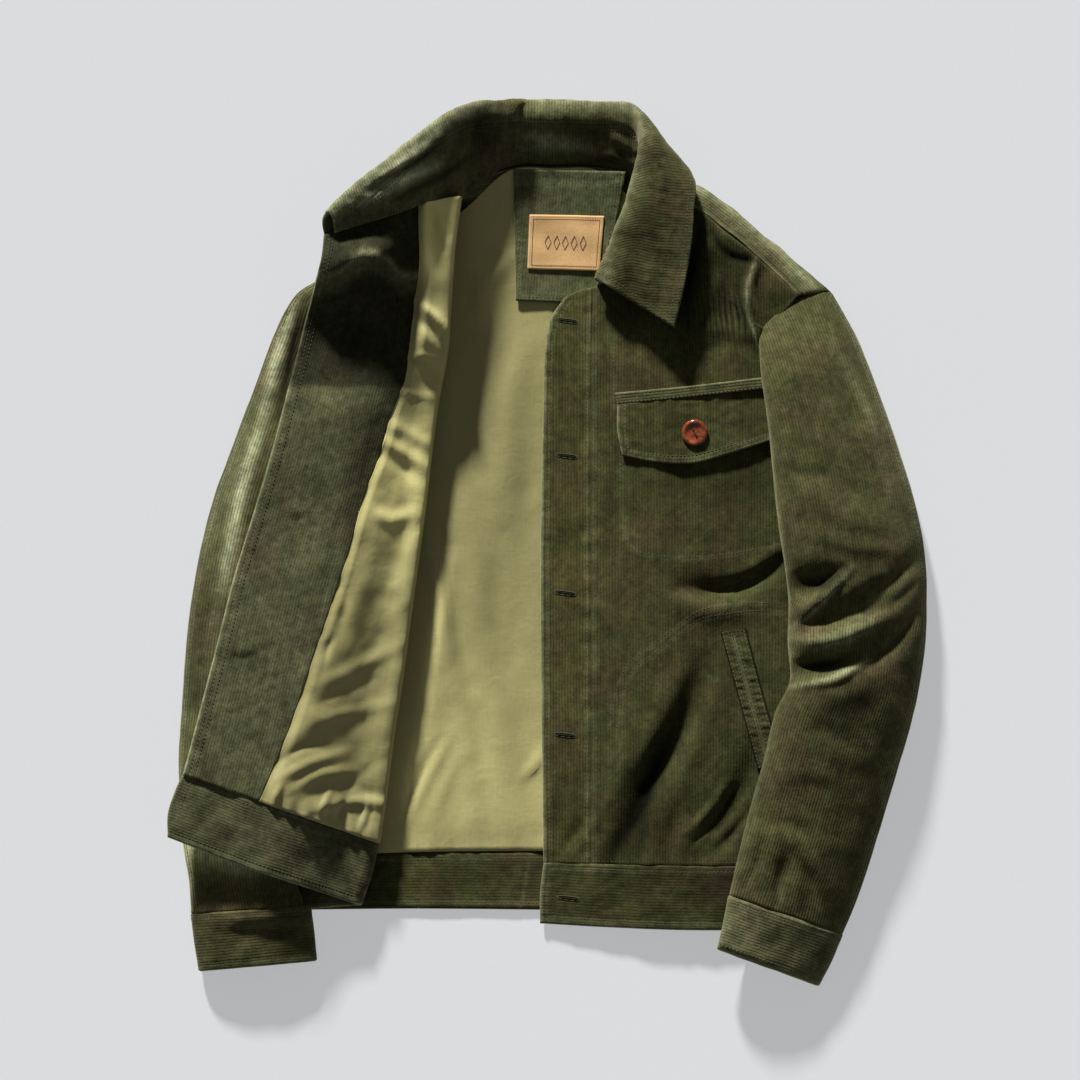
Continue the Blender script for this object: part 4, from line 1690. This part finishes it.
def pocket_scene():
    """The chest pocket's welt, flap and button, and the welts of the side pocket."""
    over_front = SHELL_WALL / 2 + LAY_GAP + TRIM_WALL / 2 + TRIM_RISE
    top, low = CHEST_WELT
    flat = plan_for("chest_welt", low, top, (low[0], top[0]), (low[-1], top[-1]))
    x, y = xy(flat)
    grid = moved(raised(flat, left_front_height), over_front + 0.5)
    grid[..., 2] += rippled(2.2 * ease((x - 70) / 130.0), "chest_welt", x, y)
    from_middle = np.abs(np.linspace(-1, 1, CELLS["chest_welt"][1]))[:, None]
    piece = cloth("chest_welt_cloth", grid, TRIM_WALL, "front", wales_across(grid),
                  wear=0.35 + 0.4 * from_middle**3 + 0 * x, hem=0.9)
    runs = rows_on(grid, TRIM_WALL / 2 + 0.4, (0.14, 0.86), 160)
    dress(piece, "chest_welt", "corduroy", (0.142, 0.010), rests_on=("left_front_cloth",),
          with_pieces=(sew("chest_welt_thread", runs),))

    top, low = CHEST_FLAP
    left, right = (low[0], (64, 100), top[0]), (low[-1], (205, 117), top[-1])
    flat = plan_for("chest_flap", low, top, left, right)
    x, y = xy(flat)
    down = np.linspace(1, 0, CELLS["chest_flap"][1])[:, None]
    lift = 1.7 * ease((x - 90) / 60.0) * down**1.3 + 0.5 * down**2
    lift = lift - 1.2 * (1 - down) ** 3 * ease((x - 90) / 100.0)
    grid = moved(raised(flat, left_front_height), over_front + 0.4)
    grid[..., 2] += rippled(lift, "chest_flap", x, y)
    lines = (lines_at(low, 5.5), lines_at(left, -5.5))
    grid[..., 2] += sewn(lines, x, y, 0.3, 113)
    wear = np.maximum(worn((low, left), x, y, 1.8) * 0.8, worn(lines, x, y) * 0.45)
    piece = cloth("chest_flap_cloth", grid, FLAP_WALL, "front", (x / WALE, y / WALE), wear=wear, hem=0.5)
    runs = [run_on(grid, FLAP_WALL / 2 + 0.25, (0.115, 0.115), (0.03, 1.0), 160),
            run_on(grid, FLAP_WALL / 2 + 0.25, (0.115, 1.0), (0.04, 0.04), 70)]
    spot_at = np.argmin(np.hypot(x - CHEST_BUTTON[0], y - CHEST_BUTTON[1]))
    centre, normal = grid.reshape(-1, 3)[spot_at], normals_of(grid).reshape(-1, 3)[spot_at]
    hole = [centre + normal * (FLAP_WALL / 2 + 0.1) + np.array((0.3, 8.5 + 0.28 * k, 0.0)) for k in range(18)]
    extra = (sew("chest_flap_thread", runs),
             sew("chest_flap_buttonhole_thread", [(hole, [normal] * 18)], pitch=0.6, length=2.6, radius=0.32))
    dress(piece, "chest_flap", "corduroy", (0.145, 0.055), rests_on=("left_front_cloth",), with_pieces=extra)
    fancy_button("chest_button_turned", centre + normal * (FLAP_WALL / 2 + 1.7), normal, "chest_button")

    columns, rows = CELLS["side_welts"]
    right, slot_right, slot_left, left = (curve(line, even(columns)) for line in SIDE_WELTS)
    inner, outer = np.concatenate([slot_right, slot_left[::-1]]), np.concatenate([right, left[::-1]])
    share = even(rows)[:, None, None]
    ring = inner[None] * (1 - share) + outer[None] * share
    height = front_surface(*xy(ring)) + over_front + 0.3 - 0.5 * share[..., 0] ** 2
    ripple = waves(ring[..., 1], ring[..., 0] * 0.3, 119, 8.0, 8)
    height = height + 0.45 * ripple * np.sin(np.pi * share[..., 0])
    ring = np.concatenate([ring, height[..., None]], axis=-1)[:, ::-1]
    straight_up = np.broadcast_to((0.0, 0.0, 1.0), ring.shape)
    u, v = wales_up(np.concatenate([ring, ring[:, :1]], axis=1))
    wear = 0.1 + 0.5 * np.abs(np.linspace(-1, 1, rows))[:, None] ** 4 + 0 * ring[..., 0]
    piece = cloth("side_welts_cloth", ring, TRIM_WALL, "front", (v, u), wrap=True, normals=straight_up,
                  wear=wear, shade=0.85 * (share[::-1, :, 0] < 0.1) + 0 * wear, hem=0.4)
    runs = rows_on(ring, TRIM_WALL / 2 + 0.25, (0.2, 0.8), 260, wrap=True)
    dress(piece, "side_welts", "corduroy", (0.040, 0.125), 0.0034, rests_on=("left_front_cloth",),
          with_pieces=(sew("side_welts_thread", runs),))


def fancy_button(name, centre, normal, node):
    """A round button with a raised rim, a dish with two dark holes, and thread through them."""
    side = np.cross(normal, (0.0, 1.0, 0.0))
    side = side / np.linalg.norm(side)
    other = np.cross(side, normal)
    turn = 2 * np.pi * np.arange(TURNED_SIDES) / TURNED_SIDES
    spoke = np.cos(turn)[:, None] * side + np.sin(turn)[:, None] * other
    points, faces = [], []
    for radius, height in TURNED_SECTION:
        points.append(centre + normal * height + spoke * max(radius, 0.002) * BUTTON_RADIUS)
    for ring in range(len(TURNED_SECTION) - 1):
        a = ring * TURNED_SIDES + np.arange(TURNED_SIDES)
        n = ring * TURNED_SIDES + (np.arange(TURNED_SIDES) + 1) % TURNED_SIDES
        faces.append(np.stack([a, a + TURNED_SIDES, n + TURNED_SIDES, n], axis=1))
    dress(mesh_object(name, np.concatenate(points), np.concatenate(faces), "button"), node, "button")
    tilt = np.radians(HOLES_TURN)
    way = np.cos(tilt) * side + np.sin(tilt) * other
    holes = []
    for hand in (-1, 1):
        middle = centre + way * hand * HOLE_AT + normal * 0.30
        holes.append((np.stack([middle - way * 0.9, middle, middle + way * 0.9]), [normal] * 3))
    sew(name + "_holes", holes, "slit", "button", pitch=3.0, length=2.9, radius=0.95)
    line = np.stack([centre + way * s + normal * 0.55 for s in np.linspace(-HOLE_AT, HOLE_AT, 9)])
    strands = [(line + np.cross(way, normal) * k, [normal] * 9) for k in (-0.45, 0.05, 0.5)]
    sew(name + "_thread", strands, slot="button", pitch=6.0, length=5.4, radius=0.34)


def fine_right_rows(lines, up, height_at, wall, counts):
    """right_rows read more finely between its columns, and the fine column at the edge of the facing."""
    grid, facing_column = right_rows(*lines, up, height_at, wall)
    place = np.arange(grid.shape[1], dtype=float)
    marks = (0, *FOLD_COLUMNS, facing_column, len(place) - 1)
    parts = zip(marks[:-1], marks[1:], counts)
    at = np.concatenate([np.linspace(a, b, n + 1)[:-1] for a, b, n in parts] + [[place[-1]]])
    fine = np.stack([table_at(np.column_stack([place, row]), at) for row in grid])
    return fine, sum(counts[:3])


def folded_over(first, columns, turned):
    """Share of each column that is on the upper layer: 0 below the fold, 1 above its edge."""
    return ease((first + np.arange(columns) - 0.60 * turned) / (0.14 * turned))[None, :]


def pressed(grid, edge, top):
    """The fold pressed to a sharp edge: between these columns it lies nearly as high as its top."""
    grid = grid.copy()
    low, high = grid[:, edge : edge + 1, 2], grid[:, top : top + 1, 2]
    share = np.clip((grid[:, edge:top, 2] - low) / np.maximum(high - low, 0.1), 0.0, 1.0)
    grid[:, edge:top, 2] = low + (high - low) * share**0.45
    return grid


def right_lining(front, facing_column, turned):
    """The lining of the turned-back front, with its creases and a full fold along the seam of the facing."""
    away = SHELL_WALL / 2 + LAY_GAP + LINING_WALL / 2 + 0.1
    grid = moved(front, -away)[:, LINING_START : facing_column + 1]
    x, y = xy(grid)
    on_top = folded_over(LINING_START, grid.shape[1], turned)
    rise = rippled(folds(RIGHT_FRONT_CREASES, x, y), "right_lining", x, y)
    rise = rise + 0.22 * waves(x, y * 1.4 + x * 0.4, 127, 20.0, 8) * ease(waves(x, y, 128, 60.0, 8) + 0.4)
    full = 0.5 + 2.2 * ease((arc(grid, 1)[:, -1:] - arc(grid, 1)) / 9.0)
    hem = bell(near_line(RIGHT_HEM_LINE, x, y)[0], 13.0) * waves(x, y * 0.4, 124, 17.0, 8) * 0.9
    grid[..., 2] += on_top * np.maximum(rise + hem + full, 0.0)
    grid[:, -1] += unit(grid[:, -2] - grid[:, -1]) * SEAM_GAP
    dim = 0.10 * ease((y - 128) / 14.0) * ease((236 - y) / 24.0) - 0.7 * ease((y - 222) / 24.0)
    dim = dim - 0.45 * ease((y + 80) / 90.0) - 0.45 * ease((y + 10) / 40.0) * ease((110 - y) / 50.0)
    shade = on_top * (dim + folds(FLAP_SHADE, x, y))
    grid = grid[:, ::-1]
    piece = cloth("right_lining_cloth", grid, LINING_WALL, "lining", wales_up(grid), shade=shade[:, ::-1])
    dress(piece, "right_lining", "lining", (0.17, 0.60), 0.068, "folded", ("right_front_cloth",))


def right_facing(front, facing_column):
    """The facing that the fold turns up: bright on its hump at the collar, dark in the hollow below it."""
    away = SHELL_WALL / 2 + LAY_GAP + FACING_WALL / 2 + 0.1
    grid = moved(front, -away)[:, facing_column:]
    x, y = xy(grid)
    inner_line, outer_line = lines_at(RIGHT_EDGE, -4.5), lines_at(RIGHT_EDGE, -9.5)
    grid[..., 2] += rippled(0.3 * sewn((inner_line, outer_line), x, y, 0.9, 125), "right_facing", x, y)
    arch = np.interp(x, *ARCH_LINE)
    dark = (0.68 - 0.08 * ease((y - 182) / 26.0)) * ease((y - 134) / 6.0) * ease((arch - 8 - y) / 14.0)
    dark = dark + 0.68 * ease((y - arch - 2) / 5.0)
    dark = dark + 0.14 * ease((y - 10) / 50.0) * ease((138 - y) / 6.0) - 0.12 * ease((-100 - y) / 60.0)
    wear = np.maximum(worn((RIGHT_EDGE,), x, y, 1.8), worn((inner_line,), x, y) * 0.4)
    wear = wear + 0.9 * bell(y - arch, 2.4)
    edge_share = 4.5 / np.maximum(arc(grid, 1)[:, -1], 1.0)
    grid = grid[:, ::-1]
    piece = cloth("right_facing_cloth", grid, FACING_WALL, "facing", wales_up(grid, 0.0), wear=wear[:, ::-1],
                  shade=dark[:, ::-1], hem=0.5)
    runs = [run_on(grid, FACING_WALL / 2 + 0.25, even(len(grid)), edge_share * k, 400) for k in (1.0, 2.1)]
    dress(piece, "right_facing", "corduroy", (0.10, 0.60), 0.045, "folded", ("right_front_cloth",),
          (sew("right_facing_thread", runs),))


def right_waistband():
    """The waistband of the right front, turned back with it. Its normals point inwards."""
    up = even(BAND_ROWS)
    lines = (RIGHT_BAND_SIDE, RIGHT_BAND_FOLD, RIGHT_BAND_FACING, RIGHT_BAND_EDGE)
    band, _ = fine_right_rows(lines, up, -0.1 * up, BAND_WALL, BAND_COLUMNS)
    x, y = xy(band)
    over = folded_over(0, band.shape[1], sum(BAND_COLUMNS[:2]))
    band[..., 2] += over * rippled(folds(FLIPPED_BAND_CREASES, x, y), "right_waistband", x, y)
    normals = normals_of(band[::-1])
    edge = arc(band, 0)
    seam = -grooves(edge, (3.5,), 0.32) - grooves(edge[-1] - edge, (4.5,), 0.32)
    band = band[::-1] - normals * (seam * over)[::-1][..., None]
    wear = 0.5 * bell(edge, 2.0) + 0.8 * bell(edge[-1] - edge, 1.8)
    piece = cloth("right_waistband_cloth", band, BAND_WALL, "facing", wales_across(band), wear=wear[::-1])
    away = -(BAND_WALL / 2 + 0.02)
    runs = rows_on(band, away, (0.1, 0.92), 200, (0.3, 1.0))
    runs.append(run_on(band, away, (0.08, 0.92), (0.965, 0.965), 60))
    extra = (sew("right_waistband_thread", [(line, -normal) for line, normal in runs]),)
    dress(piece, "right_waistband", "corduroy", (0.30, 0.054), None, "folded", ("right_sleeve_top_cloth",),
          extra)


def right_front_scene():
    """The right front turned back on itself over its sleeve, with lining, facing and waistband."""
    up = even(RIGHT_ROWS)
    turned = sum(RIGHT_COLUMNS[:2])
    lines = (RIGHT_SIDE, RIGHT_FOLD, RIGHT_FACING, RIGHT_EDGE)
    grid, facing_column = fine_right_rows(lines, up, up, SHELL_WALL, RIGHT_COLUMNS)
    grid = pressed(grid, *PRESSED_COLUMNS)
    x, y = xy(grid)
    over = folded_over(0, grid.shape[1], turned)
    seam_far = arc(grid, 1)[:, facing_column : facing_column + 1] - arc(grid, 1)
    grid[..., 2] += over * PANEL_LIFT * ease(seam_far / 16.0) * ease((y - 140.0) / 45.0)
    soft = rippled(0.0, "right_front", x, y)
    grid[..., 2] += over * (folds(RIGHT_FRONT_CREASES, x, y) * 0.45 + folds(ARCH_CREASES, x, y) + soft)
    half = grid[:, ::2]
    piece = cloth("right_front_cloth", half, SHELL_WALL, "corduroy", wales_up(half, 1.0), hem=0.4)
    dress(piece, "right_front", "corduroy", (0.34, 0.60), 0.150, "folded", ("right_sleeve_top_cloth",))
    right_lining(grid, facing_column, turned)
    right_facing(grid, facing_column)
    right_waistband()


def sleeve_grid(rings, flip):
    """Rings of a sleeve from its hem upwards, turned so that the normals of either side point outwards."""
    return (rings[:, ::-1] if flip else rings)[::-1]


def sleeve_part(side, part, grid, ridges, hollows, flip):
    """A top or under sleeve as a piece, and the names of the pieces sewn to it."""
    name = side + "_sleeve_" + part
    x, y = xy(grid)
    normals = normals_of(grid)
    up = np.clip(normals[..., 2], 0, 1)
    lift = rippled(0.0, side + "_sleeve", x, y)
    wear, extra = None, ()
    if part == "top":
        across = arc(grid, 1)
        seam_side = across if flip else across[:, -1:] - across
        lift = lift * up - grooves(seam_side, (SLEEVE_STITCHES,), 0.4)
        wear = 0.35 * bell(seam_side, 2.0) + 0.3 * bell(seam_side - SLEEVE_STITCHES, 1.6)
        wear = wear + folds(ridges, x, y)
    else:
        lift = np.minimum(lift, 0.3) * 0.4
    grid = grid + normals * lift[..., None]
    if part == "top":
        near = bell(arc(grid, 0)[-1] - arc(grid, 0), CAP_REACH)[..., None]
        grid = grid + near * (unit(grid[-1] - grid[-4]) * CAP_OUT - (0.0, 0.0, CAP_DROP))
        share = SLEEVE_STITCHES / np.maximum(across[:, -1], 1.0)
        cols = share if flip else 1 - share
        extra = (sew(name + "_thread", [run_on(grid, SHELL_WALL / 2 + 0.02, even(len(cols)), cols, 500)]),)
    shade = np.minimum(folds(hollows, x, y), DARKEST) * ease(up / 0.3)
    piece = cloth(name + "_cloth", grid, SHELL_WALL, "corduroy", wales_up(grid), wear=wear, shade=shade)
    return piece, extra


def cuff_part(name, grid, wear):
    """A cuff as a piece, closed round the wrist, and its thread."""
    x, y = xy(grid)
    along = arc(grid, 0)
    far = along[-1] - along
    normals = normals_of(grid, True)
    up = np.clip(normals[..., 2], 0, 1)
    seam = -grooves(along, (5.0,), 0.36) - grooves(far, (3.5,), 0.36)
    lift = (rippled(0.0, name, x, y) + seam) * up
    grid = grid + normals * lift[..., None]
    wear = 0.8 * bell(along, 1.8) + 0.4 * bell(far - 3.5, 1.6) + wear
    closed = np.concatenate([grid, grid[:, :1]], axis=1)
    piece = cloth(name + "_cloth", grid, BAND_WALL, "trim", wales_across(closed), wrap=True, wear=wear,
                  hem=0.3)
    runs = rows_on(grid, BAND_WALL / 2 + 0.05, (0.105, 0.925), 320, wrap=True)
    return piece, (sew(name + "_thread", runs),)


def sleeve_scene(side, tables, support, flip, rests, sizes):
    """A sleeve in two parts and its cuff. flip is for the right one, whose rings run the other way."""
    sleeve, cuff, sleeve_folds, creases, ridges, hollows = tables
    every = sleeve_folds + creases
    for part, start, end in (("top", INNER_SEAM, OUTER_SEAM), ("under", OUTER_SEAM, 2.0 + INNER_SEAM)):
        columns, rows = CELLS["sleeve_" + part]
        turns = np.linspace(start + CLOSE_TURN, end - CLOSE_TURN, columns)
        grid = sleeve_grid(sleeve_rings(sleeve, rows, turns, support, every), flip)
        piece, extra = sleeve_part(side, part, grid, ridges, hollows, flip)
        dress(piece, side + "_sleeve_" + part, "corduroy", *sizes[part], "laid", rests, extra)
    columns, rows = CELLS["cuff"]
    turns = np.linspace(0, 2, columns + 1)[:-1]
    grid = sleeve_grid(sleeve_rings(cuff, rows, turns, support, every), flip)
    piece, extra = cuff_part(side + "_cuff", grid, CUFF_WEAR[side])
    dress(piece, side + "_cuff", "corduroy", (0.24, 0.050), None, "laid", rests, extra)


def collar_grid():
    """Middle points of the collar, the stand's rows and then the leaf's, and how far round each column is."""
    lines = []
    for row in stations(COLLAR, COLLAR_COLUMNS):
        line = curve(collar_profile(row[0:3], row[3:6], row[6:9]), even(201))
        length = way_along(line)
        at_roll = length[np.argmin(np.linalg.norm(line - row[3:6], axis=1))]
        seam = max(at_roll - STAND_SEAM, LEAST_STAND * at_roll)
        steps = np.concatenate([np.linspace(0, seam, STAND_ROWS),
                                np.linspace(seam + 3 * SEAM_GAP, length[-1], LEAF_ROWS)])
        lines.append([[np.interp(s, length, line[:, c]) for c in range(3)] for s in steps])
    return np.transpose(np.array(lines), (1, 0, 2))


def lower_foot(grid):
    """Brings the foot of the stand down to the yoke, where the collar's table leaves a gap below it."""
    foot = grid[0, :, 0]
    reach = np.clip(grid[0, :, 2] - 8.0, 0.0, 22.0)
    reach = reach * ease((foot + 104.0) / 30.0) * ease((106.0 - foot) / 22.0)
    down = (1 - np.arange(FOOT_ROWS)[:, None] / FOOT_ROWS) ** 2
    grid[:FOOT_ROWS, :, 2] -= reach * down
    grid[:FOOT_ROWS, :, 0] -= 0.22 * np.clip(foot / 60.0, -1.0, 1.0) * reach * down
    grid[:FOOT_ROWS, :, 1] -= 0.42 * reach * down


def collar_scene():
    """The collar: a stand, and the leaf sewn to it, which turns over outside."""
    grid = collar_grid()
    x, y = xy(grid)
    normals = normals_of(grid)
    last = STAND_ROWS - 1
    normals[last : last + 2] = unit(normals[last] + normals[last + 1])
    lift = rippled(folds(COLLAR_RIDGES, x, y), "collar", x, y)
    along = arc(grid, 0)
    edge = along[-1] - along
    ends = arc(grid, 1)
    end = np.minimum(ends, ends[:, -1:] - ends)
    grid[..., 2] += LEAF_LIFT * (ease((x - 60.0) / 30.0) * ease(1 - edge / 55.0))
    lower_foot(grid)
    lift = lift - grooves(edge, (LEAF_STITCHES,), 0.36) - grooves(end, (LEAF_STITCHES,), 0.36)
    seam_at = along[last + 1]
    for distance in STAND_STITCHES:
        lift = lift - 0.3 * bell(along - seam_at + distance, 0.9)
    grid = grid + normals * lift[..., None]
    wear = 0.8 * bell(edge, 1.8) + 0.6 * bell(end, 1.8)
    wear = wear + 0.35 * bell(along - seam_at, 2.0)
    rim = bell(along - seam_at - STAND_SEAM + 4.0, 9.0)
    wear = wear + 1.3 * rim * ease((-30.0 - x) / 40.0) + 0.95 * rim * ease((x + 30.0) / 40.0)
    inside = ease((seam_at + 16.0 - along) / 8.0)
    wear = wear + (0.35 * ease((30.0 - x) / 40.0) + folds(COLLAR_GLOW, x, y)) * inside
    shade = np.minimum(folds(COLLAR_SHADE, x, y), 0.8) * ease((seam_at + 24.0 - along) / 8.0)
    shade = shade + 0.22 * ease((x - 60.0) / 20.0) * ease((along - seam_at - 28.0) / 10.0)
    middle = COLLAR_COLUMNS // 2
    across = ends - ends[:, middle : middle + 1]

    def part(name, rows, hem):
        grain = (across[rows] / WALE, along[rows] / WALE)
        return cloth(name + "_cloth", grid[rows], COLLAR_WALL, "trim", grain, normals=normals[rows],
                     wear=wear[rows], shade=shade[rows], hem=hem)

    name, rows = "collar_stand", slice(0, STAND_ROWS)
    piece = part(name, rows, 0.0)
    shares = [1 - distance / along[last] for distance in STAND_STITCHES]
    runs = [run_on(grid[rows], COLLAR_WALL / 2 + 0.05, share, even(COLLAR_COLUMNS), 420) for share in shares]
    dress(piece, name, "corduroy", (0.47, 0.034), rests_on=("yoke_cloth",),
          with_pieces=(sew(name + "_thread", runs),))

    name, rows = "collar_leaf", slice(STAND_ROWS, None)
    piece = part(name, rows, 0.4)
    lift = COLLAR_WALL / 2 + 0.1
    share = 1 - LEAF_STITCHES / (along[-1] - along[STAND_ROWS])
    runs = [run_on(grid[rows], lift, share, even(COLLAR_COLUMNS), 500)]
    from_end = LEAF_STITCHES / ends[-1, -1]
    runs += [run_on(grid[rows], lift, (0.05, 0.94), (c, c), 90) for c in (from_end, 1 - from_end)]
    dress(piece, name, "corduroy", (0.52, 0.095), 0.043, rests_on=("yoke_cloth",),
          with_pieces=(sew(name + "_thread", runs),))


def studio():
    """The pale surface, a low key light from the upper left, faint sky light and a camera straight above."""
    sides = ((-1, -1), (1, -1), (1, 1), (-1, 1))
    corners = [(x * FLOOR_HALF, y * FLOOR_HALF, FLOOR_Z) for x, y in sides]
    floor = mesh_object("floor", corners, [(0, 1, 2, 3)], "paper")
    key = bpy.data.lights.new("key", "SUN")
    key.energy = KEY_STRENGTH
    key.angle = np.radians(KEY_SPREAD)
    lamp = bpy.data.objects.new("key", key)
    lamp.rotation_euler = (0.0, np.radians(90.0 - KEY_ELEVATION), np.radians(KEY_AZIMUTH))
    world = bpy.data.worlds.new("sky")
    world.use_nodes = True
    background = world.node_tree.nodes["Background"].inputs
    background["Color"].default_value = SKY_COLOUR
    background["Strength"].default_value = SKY_STRENGTH
    camera = bpy.data.cameras.new("camera")
    camera.sensor_width = SENSOR
    camera.lens = SENSOR * CAMERA_HEIGHT / VIEW_WIDTH
    camera.clip_end = 100.0
    eye = bpy.data.objects.new("camera", camera)
    eye.location = (*VIEW_CENTRE, CAMERA_HEIGHT)
    scene = bpy.context.scene
    for made in (lamp, eye):
        scene.collection.objects.link(made)
    scene.world = world
    scene.camera = eye
    scene.view_settings.view_transform = "Standard"


back_scene()
neck_scene()
yoke_scene()
left_front_scene()
pocket_scene()
right_front_scene()
sleeve_scene(
    "left",
    (LEFT_SLEEVE, LEFT_CUFF, LEFT_SLEEVE_FOLDS, LEFT_SLEEVE_CREASES, LEFT_SLEEVE_GLOW, LEFT_SLEEVE_SHADE),
    left_support, False, ("left_front_cloth",),
    {"top": ((0.175, 0.60), 0.070), "under": ((0.15, 0.60), 0.074)},
)
sleeve_scene(
    "right",
    (RIGHT_SLEEVE, RIGHT_CUFF, RIGHT_SLEEVE_FOLDS, RIGHT_SLEEVE_CREASES, RIGHT_SLEEVE_GLOW,
     RIGHT_SLEEVE_SHADE),
    right_support, True, ("back_lining_cloth",),
    {"top": ((0.15, 0.56), 0.063), "under": ((0.15, 0.56), 0.066)},
)
collar_scene()
# The front buttons lie hidden between the layers, so their solids stay and only take the button's look.
for number in range(1, 6):
    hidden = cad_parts["front_button_" + str(number)]
    for place in hidden.material_slots:
        place.material = LOOK["button"]
studio()
